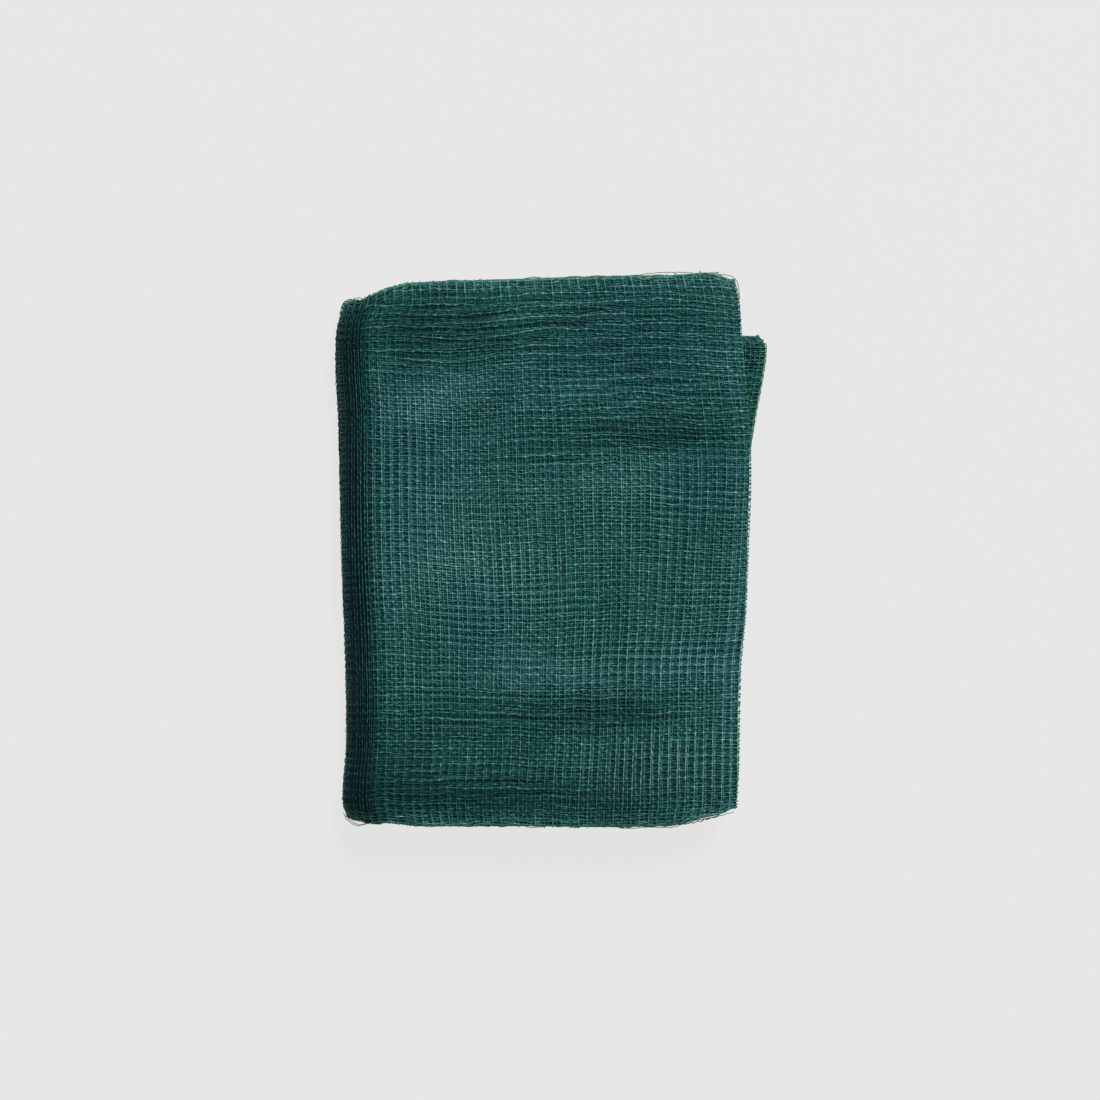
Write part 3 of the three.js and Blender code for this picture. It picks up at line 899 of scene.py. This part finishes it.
set_ramp(core_ramp, CORE_STOPS)
core_bump = add(tree, "Bump", {"Height": uneven, "Strength": BUMP_STRENGTH, "Distance": BUMP_HEIGHT})
set_surface(tree, shader, with_cast(tree, core_ramp.outputs[0]), CORE_ROUGHNESS, CORE_MIRROR)
set_inputs(tree, shader, {"Normal": core_bump.outputs[0]})
print("core shades", [colour for _, colour in CORE_STOPS])

# %% [markdown]
# ## The net's unevenness
#
# A place in the net is counted in cells: i wales along the band and j courses along the packet. Two kinds
# of unevenness move it. One is shared by all the plies, because they were folded and pressed together.
# The other is each ply's own. A ply that is half a cell out of step fills the cells of the one above, and
# in a few places the plies fall in step, and the net shows clear cells with dark holes.

# %% Where the plies fall in step, and where wales or courses show more
IN_STEP = [Spot(*row) for row in (
    (94, -84, 62, 24, 0.5),  # clear cells on the right
    (90, -160, 55, 24, 0.5),  # and below them
    (-30, -170, 60, 14, 0.5),
    (-95, 60, 26, 50, 0.15),  # left of the middle
)]
WALES_SHOW = [Spot(*row) for row in (
    (30, 170, 170, 40, -1.5),  # hardly seen in the waves of the upper end
    (70, 100, 95, 34, -0.9),
    (-90, 40, 50, 75, 0.5),
    (95, -150, 60, 45, 0.6),
    (94, -84, 60, 20, 0.4),
    (30, -120, 80, 16, -0.6),
    (-60, -185, 90, 16, -0.7),
    (-112, -160, 30, 40, -0.5),  # hardly seen beside the spine's two ends
    (-100, 165, 40, 30, -0.5),
    (60, -172, 70, 30, 0.6),  # long light wales above the lower end
)]
COURSES_SHOW = [Spot(*row) for row in (
    (30, 165, 170, 40, -0.4),
    (75, 100, 80, 30, -0.3),
    (20, -126, 90, 22, -0.25),
    (-60, -190, 120, 14, -0.4),
    (70, -175, 80, 30, -0.35),
)]

# %% From cells to places
Ply = namedtuple("Ply", "lift seed step_i step_j size tone")
OUTER = Ply(1.05, 11, 0.0, 0.0, 1.0, 0.05)
SECOND = Ply(0.9, 23, 0.5, 0.5, 1.0, 0.05)
# The third ply lies deeper, and its lower tone is painted shade.
THIRD = Ply(0.68, 37, 0.27, 0.76, 0.95, -0.25)
UNDER = Ply(0.7, 11, 0.0, 0.0, 1.0, 0.0)
SHARED_SEED = 401
SHARED_SIDE, SHARED_UP = (210 * MM, 0.7 * MM), (140 * MM, 1.1 * MM)  # wave and size
SHARED_RIPPLE = (30 * MM, 0.28 * MM)
OWN_SIDE = ((1, 150 * MM, 0.4 * MM), (2, 17 * MM, 0.08 * MM))  # what is added to the seed, wave and size
OWN_UP = ((3, 90 * MM, 0.6 * MM), (4, 9 * MM, 0.24 * MM))
IN_STEP_CALM = 0.75  # how much of a ply's own unevenness goes where the plies are in step
WALE_SPREAD, COURSE_SPREAD = 0.22 * MM, 0.28 * MM  # how unevenly wales and courses are spaced
WALES, COURSES = 1200, 400  # more than any ply has
TOP_SLOPE = 3  # the cloth counts as top fully where this times its upward direction reaches 1
TOP_OVER = 2 * MM  # and a little way down the uppermost fold
TOP_LAYER = f"layer {LAYERS - 1}"
top_from, top_to = reach_of("spine")[0], reach_of(TOP_LAYER)[1]


def shared_stray(cloth, along):
    """How far all the plies stray together: wales hardly, courses in long waves."""
    side = wander(cloth, along, SHARED_SEED, *SHARED_SIDE)
    up = wander(cloth, 0.5 * along, SHARED_SEED + 1, *SHARED_UP)
    return side, up + wander(cloth, along, SHARED_SEED + 2, *SHARED_RIPPLE)


def own_stray(cloth, along, seed, waves, places, spread, count):
    """How far one ply's yarns stray: two unevennesses, and a draw for each wale or course."""
    slow, quick = (wander(cloth, along, seed + more, wave, size) for more, wave, size in waves)
    return slow + np.interp(places, np.arange(count), spread) + quick


def net_places(i, j, ply):
    """Cells to places: (i + step)·pitch plus the shared and own unevenness. Returns the distance along
    the band and the way along the packet, the place's x and y, the height of the small waves there, and 1
    where it is on top of the packet."""
    cloth, along = i * WALE_PITCH, j * COURSE_PITCH
    points, out, _ = on_band(cloth, straight_share(cloth, along))
    x, y = points[..., 0], points[..., 1]
    on_top = np.clip(out[..., 2] * TOP_SLOPE, 0, 1) * (cloth > top_from) * (cloth < top_to + TOP_OVER)
    in_step = np.clip(spots(IN_STEP, x, y), 0, 1) * on_top
    own = 1 - IN_STEP_CALM * in_step
    draw = np.random.default_rng(ply.seed)
    wale_off, course_off = draw.normal(0, WALE_SPREAD, WALES), draw.normal(0, COURSE_SPREAD, COURSES)
    side, up = shared_stray(cloth, along)
    side = side + (ply.step_i * (1 - in_step)) * WALE_PITCH
    up = up + (ply.step_j * (1 - in_step)) * COURSE_PITCH
    side += own * own_stray(cloth, along, ply.seed, OWN_SIDE, i, wale_off, WALES)
    up += own * own_stray(cloth, along, ply.seed, OWN_UP, j, course_off, COURSES)
    rise, pull = small_waves(x, y)
    return cloth + side, along + up + pull * on_top, x, y, rise * on_top, on_top


# %% [markdown]
# ## The core
#
# One closed sheet follows the whole path of the band, thinner than the band and drawn in from its folds
# and ends, so that only yarn is seen at the rims. It could be a solid block with lines painted on, but
# then the open folds at the sides would be a lie. Its two faces are the grid's middle moved out and in by
# a share of its thickness.

# %% The core sheet
CORE_SHARE = 0.5  # of the band's thickness that the core has
CORE_DRAW = 0.7 * MM  # how far it is drawn in from the right folds
CORE_END = 1.2 * MM  # and from the bands' two ends
CORE_PULL = 0.7  # how much of the courses' gathering on the crests its pattern shows
HOLLOW_PAINTED_SHADE = 1.5  # painted shade in the hollows of the small waves: how much darker, per millimetre
SPINE_CORE_PAINTED_SHADE = 2.2  # painted shade: how much darker the core is on the spine
CORE_ROWS = 130
CORE_STATIONS = (61, 17, 7)

core_share = np.linspace(CORE_END / PACKET_LENGTH, 1 - CORE_END / PACKET_LENGTH, CORE_ROWS)
core_grid = band_grid(core_share, *CORE_STATIONS, CORE_DRAW)
rows, stations = core_grid.points.shape[:2]
offset = core_grid.out * (CORE_SHARE * core_grid.half)[..., None]
core_points = np.stack([core_grid.points + offset, core_grid.points - offset], 2)
core_normals = np.stack([core_grid.out, -core_grid.out], 2)
index = np.arange(rows * stations * 2).reshape(rows, stations, 2)


def quads_of(a, b, c, d):
    """Four arrays of corners as one array of faces."""
    return np.stack([a, b, c, d], -1).reshape(-1, 4)


upper, lower = index[..., 0], index[..., 1]
core_faces = [
    quads_of(upper[:-1, :-1], upper[:-1, 1:], upper[1:, 1:], upper[1:, :-1]),
    quads_of(lower[:-1, :-1], lower[1:, :-1], lower[1:, 1:], lower[:-1, 1:]),
    quads_of(upper[0, :-1], lower[0, :-1], lower[0, 1:], upper[0, 1:]),
    quads_of(upper[-1, :-1], upper[-1, 1:], lower[-1, 1:], lower[-1, :-1]),
    quads_of(upper[:-1, 0], upper[1:, 0], lower[1:, 0], lower[:-1, 0]),
    quads_of(upper[:-1, -1], lower[:-1, -1], lower[1:, -1], upper[1:, -1]),
]
x, y = core_grid.points[..., 0], core_grid.points[..., 1]
core_along = np.broadcast_to(core_share[:, None] * PACKET_LENGTH, (rows, stations))
core_cloth = np.broadcast_to(core_grid.cloth[None], (rows, stations))
side, up = shared_stray(core_cloth, core_along)
rise, pull = small_waves(x, y)
top_first, top_last = core_grid.marks[TOP_LAYER]
on_top = np.zeros(stations)
on_top[top_first:top_last + 1] = 1
core_uv = np.empty((rows, stations, 2, 2))
core_uv[..., 0] = (core_cloth - side)[..., None]
core_uv[..., 1] = (core_along - up - CORE_PULL * pull * on_top)[..., None]
# Painted light and shade of the ridges and slopes, and painted shade in the hollows of the small waves, on
# the top only.
lit = (spots(LIGHT_AND_SHADE_SPOTS, x, y) - HOLLOW_PAINTED_SHADE * np.maximum(-rise, 0) / MM) * on_top
core_tone = np.repeat((lit - SPINE_CORE_PAINTED_SHADE * spine_share(x, y))[..., None], 2, 2)
core = new_piece("net_core", core_points.reshape(-1, 3), core_normals.reshape(-1, 3), core_faces,
                 deep_plies, core_uv.reshape(-1, 2), core_tone.ravel())

# %% [markdown]
# ## Plies of real yarn
#
# Wales and courses are tubes through the same crossings, so they meet. At a crossing the yarn makes a
# stitch and is thicker, and half way to the next it is thinner. On the crests of the small waves the yarn
# is lit, and in the hollows between them it lies in the shade of its neighbours, which is painted on as a
# darker tone.

# %% One ply of net
WALE_WIDE, COURSE_WIDE = 0.36 * MM, 0.46 * MM  # half widths of the two yarns
YARN_FLAT = 0.62  # a yarn's thickness as a share of its width
STITCH = 0.2  # how much thicker it is at a stitch
STITCH_TONE = 0.5  # and how much lighter
WALE_TONE = 0.38  # how much lighter wales are
PICOT = 0.45 * MM  # how far courses stand out where they turn round a fold
KNOB = 0.4  # and how much thicker they are there
SPINE_SINK = 0.7  # on the spine courses sink between the wales by this share of their lift
RIM_PAINTED_LIGHT = 0.15  # painted light that comes through the thin outline: how much lighter the yarn is there
RIGHT_FOLDS = [(LAYERS - 1 - n, fold) for n, fold in enumerate(FOLDS) if fold.side in ("right", "flap")]


def fold_bulge(cloth):
    """1 in the middle of a right fold, falling to 0 at its two ends as a half sine."""
    bulge = np.zeros(cloth.shape)
    for layer, _ in RIGHT_FOLDS:
        first, last = reach_of(f"fold {layer}")
        bulge += np.sin(np.pi * np.clip((cloth - first) / (last - first), 0, 1))
    return bulge


def net_ply(ply, first, last, sides, detail_i, detail_j):
    """Wales and courses between two distances along the band, with so many points to a cell. Each point
    lies at lift times the half thickness above the band's middle, and courses stand out by PICOT·bulge at
    the right folds."""
    i_first, i_last = math.floor(first / WALE_PITCH) * detail_i, math.ceil(last / WALE_PITCH) * detail_i
    i = np.arange(i_first, i_last + 1) / detail_i
    j_last = math.ceil((PACKET_LENGTH + 2 * COURSE_PITCH) / COURSE_PITCH * detail_j)
    j = np.arange(-detail_j, j_last + 1) / detail_j
    cloth, along, x, y, rise, on_top = net_places(i[:, None], j[None, :], ply)
    cloth = np.clip(cloth, 0, band.cloth[-1])
    points, out, half = on_band(cloth, straight_share(cloth, along))
    on_spine = spine_share(x, y)
    # The plies' shade: their own tone, painted shade in the wave hollows and on the spine, painted light
    # and shade of the ridges and slopes, painted light through the rims and at the edge of the corner that
    # stands out, and a painted shadow beside the packet on that corner.
    shade = ply.tone - HOLLOW_PAINTED_SHADE * np.maximum(-rise, 0) / MM + spots(LIGHT_AND_SHADE_SPOTS, x, y) * on_top
    shade = shade + RIM_PAINTED_LIGHT * at_rim(x, y) - SPINE_PAINTED_SHADE * on_spine
    shade = shade + mix(-FLAP_PAINTED_SHADOW, FLAP_PAINTED_LIGHT, on_flap(x, y)) * (on_flap(x, y) > 0)
    parts = []
    kinds = ((False, i, j, WALE_WIDE, WALES_SHOW), (True, j, i, COURSE_WIDE, COURSES_SHOW))
    for courses, across_yarn, along_yarn, wide, show in kinds:
        bulge = fold_bulge(cloth) * courses
        lift = ply.lift * (1 - SPINE_SINK * on_spine * courses)
        centres = points + out * (half * lift + PICOT * bulge)[..., None]
        tone = shade + (spots(show, x, y) * on_top + WALE_TONE * (not courses))
        values = [np.swapaxes(value, 0, int(courses)) for value in (centres, out, tone, bulge)]
        centres, outward, tone, bulge = (value[np.isclose(across_yarn % 1, 0)] for value in values)
        stitch = np.cos(2 * np.pi * along_yarn)[None]
        thick = ply.size * wide * (1 + STITCH * stitch + KNOB * bulge)
        parts.append(tubes(centres, outward, thick, YARN_FLAT * thick, sides, tone + STITCH_TONE * stitch))
    return parts


# %% Plies over the top, and one under the packet
FINE, COARSE = (2, 2), (1, 1)  # points to a cell, along the band and along the packet
outer_ply = join_tubes("net_outer_ply", net_ply(OUTER, top_from, top_to, 4, *FINE), yarn, seed=1)
second_ply = join_tubes("net_second_ply", net_ply(SECOND, top_from, top_to, 3, *FINE), yarn, seed=2)
third_ply = join_tubes("net_third_ply", net_ply(THIRD, top_from, top_to, 3, *FINE), yarn, seed=3)
under_ply = join_tubes("net_under_ply", net_ply(UNDER, 0.0, top_from, 3, *COARSE), yarn, seed=4)

# %% [markdown]
# ## Folds on the right
#
# Round each fold the courses turn in small loops that stand out from the last wale, which gives the edge
# its row of little teeth. The fold whose corner stands out shows more of its face, so its plies begin
# further in.

# %% Plies round the folds
FOLD_FACE = 13 * MM  # how far in from a fold its plies begin
FLAP_FACE = 44 * MM
TOP_FACE = 2 * MM  # the uppermost fold's go on from those of the top
FOLD_SECOND = SECOND._replace(lift=0.7)
AT_FOLD = (4, 2)  # points to a cell
fold_parts = []
for layer, fold in RIGHT_FOLDS:
    face = FLAP_FACE if fold.side == "flap" else FOLD_FACE
    before = TOP_FACE if layer == LAYERS - 1 else face
    first, last = reach_of(f"fold {layer}")
    for ply in (OUTER, FOLD_SECOND):
        fold_parts += net_ply(ply, first - before, last + face, 3, *AT_FOLD)
fold_plies = join_tubes("net_fold_plies", fold_parts, yarn, seed=5)

# %% [markdown]
# ## Loops at the ends
#
# The first, lengthwise folding shows at the two ends of every band: each wale of each ply comes out,
# turns, and goes back in the ply below. Those loops are all that stands at the rim, so light from the
# floor comes through it. That light is painted on as a lighter green at the loops' tips, and painted shade
# makes each further ply and the loops' inner parts darker.

# %% End loops
PLY_PAIRS = ((1.05, 0.62), (0.35, -0.05), (-0.4, -0.85))  # where the two plies of a loop lie in the band
LOOP_WAY = np.array([-1.0, -0.5, -0.12, 0.0, 0.05, 0.0, -0.12, -0.5, -1.0])
LOOP_DEPTH = np.array([0.0, 0.0, 0.0, 0.1, 0.5, 0.9, 1.0, 1.0, 1.0])
LOOP_INSIDE = 9 * MM
LOOP_STEP, LOOP_BACK = 0.4, 0.9 * MM  # each further ply lies this many cells aside, and so far inside
LOOP_SKEW = 0.35 * MM  # a loop's two sides stand this far from its middle
LOOP_WAVE, ROW_WAVE, ROW_UNEVEN = 50 * MM, 14 * MM, 0.5 * MM  # how loops and rows wander along the rim
LOOP_UNEVEN, TIP_UNEVEN = 0.25 * MM, 0.35 * MM  # slowly along the rim, and from loop to loop
LOOP_WIDE, ROW_WIDE = 0.42 * MM, 0.4 * MM
LOOP_FLAT, ROW_FLAT = 0.75, 0.5  # thickness as a share of width
LOOP_PAINTED_LIGHT, PLY_PAINTED_SHADE, INSIDE_PAINTED_SHADE = 0.7, 0.2, 0.8  # painted light that comes through the tips, and painted shade for each further ply and inside
RIM_ROWS = np.array([0.25, 1.8, 3.7, 6.0, 8.4]) * MM  # rows of course yarn, measured from the loops' tips
ROW_TONES = (-0.9, 0.5, 0.2, -0.2, -0.4)  # their shades: the outermost yarn is dark against the pale floor
LOOP_SPREAD, ROW_SPREAD = 0.75, 0.9  # specks: spread of shade from loop to loop and along a row
END_SEED, LAYER_SEED, ROW_SEED = 1000, 10, 7  # what an end, a layer and a row add to the seed
FULL_PLIES = 2  # pairs of plies with all the rows, and below them only the outermost one
RIM_FINE, RIM_COARSE, FINE_LAYERS = 100, 40, 3  # points along a row, in the uppermost layers and below


def beyond_end(outward, end):
    """Share of the way along the packet of a place that lies so far outside one of its ends."""
    return (PACKET_LENGTH + outward) / PACKET_LENGTH if end else -outward / PACKET_LENGTH


def end_loops(first, last, layer, end, detail):
    """A loop goes in the upper ply from LOOP_INSIDE before the end to just past it, turns down over half
    a circle, and comes back in the lower ply. A few courses run along the rim through the loops."""
    parts = []
    for k, (upper, lower) in enumerate(PLY_PAIRS):
        seed = END_SEED * (end + 1) + LAYER_SEED * layer + k
        draw = np.random.default_rng(seed)
        ply = OUTER if k == 0 else OUTER._replace(seed=seed)
        i = np.arange(math.ceil(first / WALE_PITCH), math.floor(last / WALE_PITCH) + 1) + LOOP_STEP * k
        rim = PACKET_LENGTH if end else 0.0
        cloth = net_places(i, np.full(i.shape, rim / COURSE_PITCH), ply)[0]
        tip = wander(cloth, 0.0, seed, LOOP_WAVE, LOOP_UNEVEN) + draw.normal(0, TIP_UNEVEN, cloth.shape)
        outward = (tip - LOOP_BACK * k)[:, None] + LOOP_WAY[None] * LOOP_INSIDE
        skew = LOOP_SKEW * np.linspace(-1, 1, len(LOOP_WAY))[None]
        points, out, half = on_band(cloth[:, None] + skew, beyond_end(outward, end))
        points = points + out * (half * mix(upper, lower, LOOP_DEPTH))[..., None]
        bright = LOOP_PAINTED_LIGHT - PLY_PAINTED_SHADE * k - INSIDE_PAINTED_SHADE * np.clip(-LOOP_WAY, 0, 1)
        bright = bright[None] + LOOP_SPREAD * draw.normal(0, 1, (len(cloth), 1))
        parts.append(tubes(points, out, LOOP_WIDE, LOOP_FLAT * LOOP_WIDE, 3, bright))
        for row in range(len(RIM_ROWS) if k < FULL_PLIES else 1):
            along = np.linspace(first, last, detail)[None]
            stray = wander(along, 0.0, seed + ROW_SEED + row, ROW_WAVE, ROW_UNEVEN)
            points, out, half = on_band(along, beyond_end(stray - RIM_ROWS[row] - LOOP_BACK * k, end))
            points = points + out * (half * (upper if row else (upper + lower) / 2))[..., None]
            shade = ROW_TONES[row] + ROW_SPREAD * draw.normal(0, 1, (1, detail))
            parts.append(tubes(points, out, ROW_WIDE, ROW_FLAT * ROW_WIDE, 3, shade))
    return parts


def all_end_loops(name, end, seed):
    """The loops of every layer at one end of the packet."""
    parts = []
    for layer in range(LAYERS):
        first, last = reach_of(f"layer {layer}" if layer else "underside")
        if layer == LAYERS - 1:
            first = top_from
        detail = RIM_COARSE if layer < LAYERS - FINE_LAYERS else RIM_FINE
        parts += end_loops(first, last, layer, end, detail)
    return join_tubes(name, parts, yarn, seed)


lower_loops = all_end_loops("net_lower_end_loops", 0, seed=6)
upper_loops = all_end_loops("net_upper_end_loops", 1, seed=7)

# %% [markdown]
# ## Loose strands
#
# Where the net was cut, single strands work loose: a few lie just off the upper end, two hang in a loop
# at the lower left corner, some run along the lower right edge, one rounds the upper right corner, and a
# tuft stands at the spine's upper corner. The corner that stands out ends in small loops, and finer ones
# fringe the spine and both ends. Each listed strand is a smooth curve through a few places.

# %% Strands through listed points
STRAND_WIDE = 0.24 * MM
STRAND_TONE, STRAND_SHAKE = -0.6, 0.15 * MM  # their shade, and how far each point is shaken
STRAND_POINTS = 40
STRANDS = [  # x, y, z in millimetres
    [(46, 202, 31), (67, 206.2, 32), (86, 206.6, 31), (98, 208, 31), (110, 205.4, 32), (122, 207.6, 31)],
    [(-2, 203.6, 32), (22, 205.9, 32), (48, 206.3, 31), (67, 203.9, 32)],
    [(52, 205, 30), (75, 209, 30), (101, 209.8, 30), (118, 207, 31)],
    [(-117, 196, 30), (-106, 200, 30), (-91, 201.3, 30), (-74, 200.6, 31)],
    [(-157, -200, 9), (-154.5, -205.3, 7), (-146.5, -210.2, 5), (-139.5, -206.8, 7), (-131, -203, 14)],
    [(-156, -201.5, 12), (-149.5, -207.2, 9), (-142, -209.3, 8), (-133, -204.6, 14), (-122, -206, 20)],
    [(40, -208, 28), (58, -210.6, 27), (74, -209.6, 27), (92, -209.8, 27), (104, -206, 28)],
    [(86, -209.4, 26), (98, -207.4, 26), (113, -204, 27), (128, -201.3, 27), (139, -198, 28)],
    [(128, 208.5, 30), (137, 207, 30), (142, 201, 30), (143.3, 190, 31)],
    [(-159, 184, 5), (-155, 190, 8), (-149, 190.6, 10), (-143.5, 187.4, 14), (-138, 191, 20)],
    [(-160, 180, 9), (-156.5, 188.5, 12), (-150, 188.5, 14), (-146, 191.5, 16), (-139, 189.5, 24)],
]

# %% Small loops along the edges
SCALLOPS = 18
SCALLOP_TOP = 157 * MM  # they begin here and go down the edge
SCALLOP_OUT, SCALLOP_BACK = 1.2 * MM, 0.9 * MM  # how far they stand out, from a line so far inside the edge
SCALLOP_ROUND = 0.7  # exponent of their shape
SCALLOP_ROWS = ((14 * MM, 0.0), (12 * MM, 1.3))  # height and phase
FRINGE_IN = 0.5 * MM  # a fringe's line lies this far inside its edge
FRINGE_BEAT, FRINGE_SHARE = (0.2, 0.8), (0.3, 1)  # draws: how soon its loops follow, and their size
FRINGE_SWING, SWING_RATE = 1.2 * MM, 0.37  # how far they swing up and down, and how often
FRINGE_SEEDS = 91, 101, 121  # of the spine's, the ends' and the tuft's
SPINE_FRINGE = np.linspace(178, -198, 420) * MM  # places along the spine
SPINE_FRINGE_HEIGHTS = (8, 6, 10)  # millimetres
END_FRINGE = np.linspace(-140, 128, 330) * MM  # places across the ends
END_FRINGE_DROPS = (0.0, 5 * MM)
SPINE_LOOSE, TOP_LOOSE, BOTTOM_LOOSE = 1.1 * MM, 1.5 * MM, 0.9 * MM  # how far the loops reach
TUFT = [(-159.5, 178, 7), (-156, 186.5, 10), (-150, 189, 14), (-143, 188.5, 18), (-136, 192, 24)]
TUFT_STRANDS, TUFT_POINTS = 5, 60
TUFT_OUT = (-0.25, 1, 0)
TUFT_LOOSE, TUFT_GROWTH = 1.6, 0.5  # millimetres for the first strand, and more for each further one


def smooth_strand(places, count):
    """The cubic through the places, with each one's slope that of the line between its neighbours."""
    rows = np.array(places) * MM
    wanted = np.linspace(0, len(rows) - 1, count)
    i = np.clip(wanted.astype(int), 0, len(rows) - 2)
    return cubic((wanted - i)[:, None], 1, rows, np.gradient(rows, axis=0), i)


def scallops(depth, phase):
    """Small loops down the outer edge of the fold that stands out: the edge's own curve moved out by
    |sin|."""
    beat = np.linspace(0, SCALLOPS, SCALLOPS * 6 + 1)
    y = SCALLOP_TOP - beat * COURSE_PITCH
    x = flap_edge(y) - SCALLOP_BACK + SCALLOP_OUT * np.abs(np.sin(np.pi * beat + phase)) ** SCALLOP_ROUND
    return np.stack([x, y, np.full(y.shape, depth)], -1)


def fringe(seed, x, y, z, out, size):
    """Small loops along an edge: its line moved out by size times a draw times |sin| of a drawn beat."""
    draw = np.random.default_rng(seed)
    beat = np.cumsum(draw.uniform(*FRINGE_BEAT, len(x)))
    moved = size * draw.uniform(*FRINGE_SHARE, len(x)) * np.abs(np.sin(beat)) - FRINGE_IN
    line = np.stack(np.broadcast_arrays(x, y, z + FRINGE_SWING * np.sin(SWING_RATE * beat)), -1)
    return line + moved[:, None] * np.array(out)


def all_fringes():
    """Fringes down the spine's outermost line, along both ends, and in the tuft at the spine's upper
    corner."""
    spine_seed, end_seed, tuft_seed = FRINGE_SEEDS
    lines, y, x = [], SPINE_FRINGE, END_FRINGE
    for k, height in enumerate(SPINE_FRINGE_HEIGHTS):
        lines.append(fringe(spine_seed + k, left_edge(y), y, height * MM, (-1, 0, 0), SPINE_LOOSE))
    for end, way, size in ((top_end, 1, TOP_LOOSE), (bottom_end, -1, BOTTOM_LOOSE)):
        for drop in END_FRINGE_DROPS:
            height = layer_at(LAYERS - 2, x, end(x))[0] - drop
            lines.append(fringe(end_seed + len(lines), x, end(x), height, (0, way, 0), size))
    tuft_x, tuft_y, tuft_z = smooth_strand(TUFT, TUFT_POINTS).T
    for k in range(TUFT_STRANDS):
        size = (TUFT_LOOSE + TUFT_GROWTH * k) * MM
        lines.append(fringe(tuft_seed + k, tuft_x, tuft_y, tuft_z - k * MM, TUFT_OUT, size))
    return lines


# %% Loose strands in one piece
strand_lines = [smooth_strand(places, STRAND_POINTS) for places in STRANDS]
strand_lines += [scallops(height, phase) for height, phase in SCALLOP_ROWS] + all_fringes()
strand_parts = []
for line in strand_lines:
    shaken = line + STRAND_SHAKE * np.random.default_rng(len(strand_parts)).normal(0, 1, line.shape)
    up = np.broadcast_to(np.array([0.0, 0.0, 1.0]), line.shape)
    strand_parts.append(tubes(shaken[None], up[None], STRAND_WIDE, STRAND_WIDE, 4, STRAND_TONE))
loose_strands = join_tubes("net_loose_strands", strand_parts, yarn, seed=8)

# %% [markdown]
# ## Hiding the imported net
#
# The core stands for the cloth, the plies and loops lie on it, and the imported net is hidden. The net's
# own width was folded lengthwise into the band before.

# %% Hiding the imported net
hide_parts("net")

# %% [markdown]
# ## Floor and light
#
# A plain pale floor and soft studio light. The main light stands beyond the packet's upper end and to its
# right, so that slopes towards it are light, and the spine and the slopes that fall away from it are
# dark, as there.

# %% Floor
FLOOR = "#383838"
FLOOR_GLOW = 0.752  # together they show as an even pale grey with hardly a shadow
FLOOR_ROUGHNESS = 0.9
FLOOR_SIZE = 6.0  # metres
floor_mesh = bpy.data.meshes.new("floor")
half = FLOOR_SIZE / 2
floor_corners = [(x * half, y * half, 0) for x, y in ((-1, -1), (1, -1), (1, 1), (-1, 1))]
floor_mesh.from_pydata(floor_corners, [], [(0, 1, 2, 3)])
floor = new_object("floor", floor_mesh)
floor_material, tree, shader = new_material("matt_floor_paint")
set_inputs(tree, shader, {"Base Color": linear(FLOOR), "Roughness": FLOOR_ROUGHNESS,
                          "Emission Color": (1, 1, 1, 1), "Emission Strength": FLOOR_GLOW})
floor_mesh.materials.append(floor_material)
print("floor", FLOOR, "glow", FLOOR_GLOW)

# %% Lights
SKY_STRENGTH = 0.18
SUN_ENERGY = 3.2
SUN_SOFTNESS = math.radians(16)
SUN_FROM = math.radians(58)  # direction it comes from, turned from X
SUN_HEIGHT = math.radians(38)

sun_data = bpy.data.lights.new("main_light", "SUN")
sun_data.energy = SUN_ENERGY
sun_data.angle = SUN_SOFTNESS
sun = new_object("main_light", sun_data)
towards = Vector((math.cos(SUN_FROM) * math.cos(SUN_HEIGHT), math.sin(SUN_FROM) * math.cos(SUN_HEIGHT),
                  math.sin(SUN_HEIGHT)))
sun.rotation_euler = towards.to_track_quat("Z", "Y").to_euler()
world = bpy.data.worlds.new("studio")
world.use_nodes = True
background = world.node_tree.nodes["Background"]
set_inputs(world.node_tree, background, {"Color": (1, 1, 1, 1), "Strength": SKY_STRENGTH})
bpy.context.scene.world = world
bpy.context.scene.view_settings.view_transform = "Standard"
print("sun", SUN_ENERGY, "sky", SKY_STRENGTH)
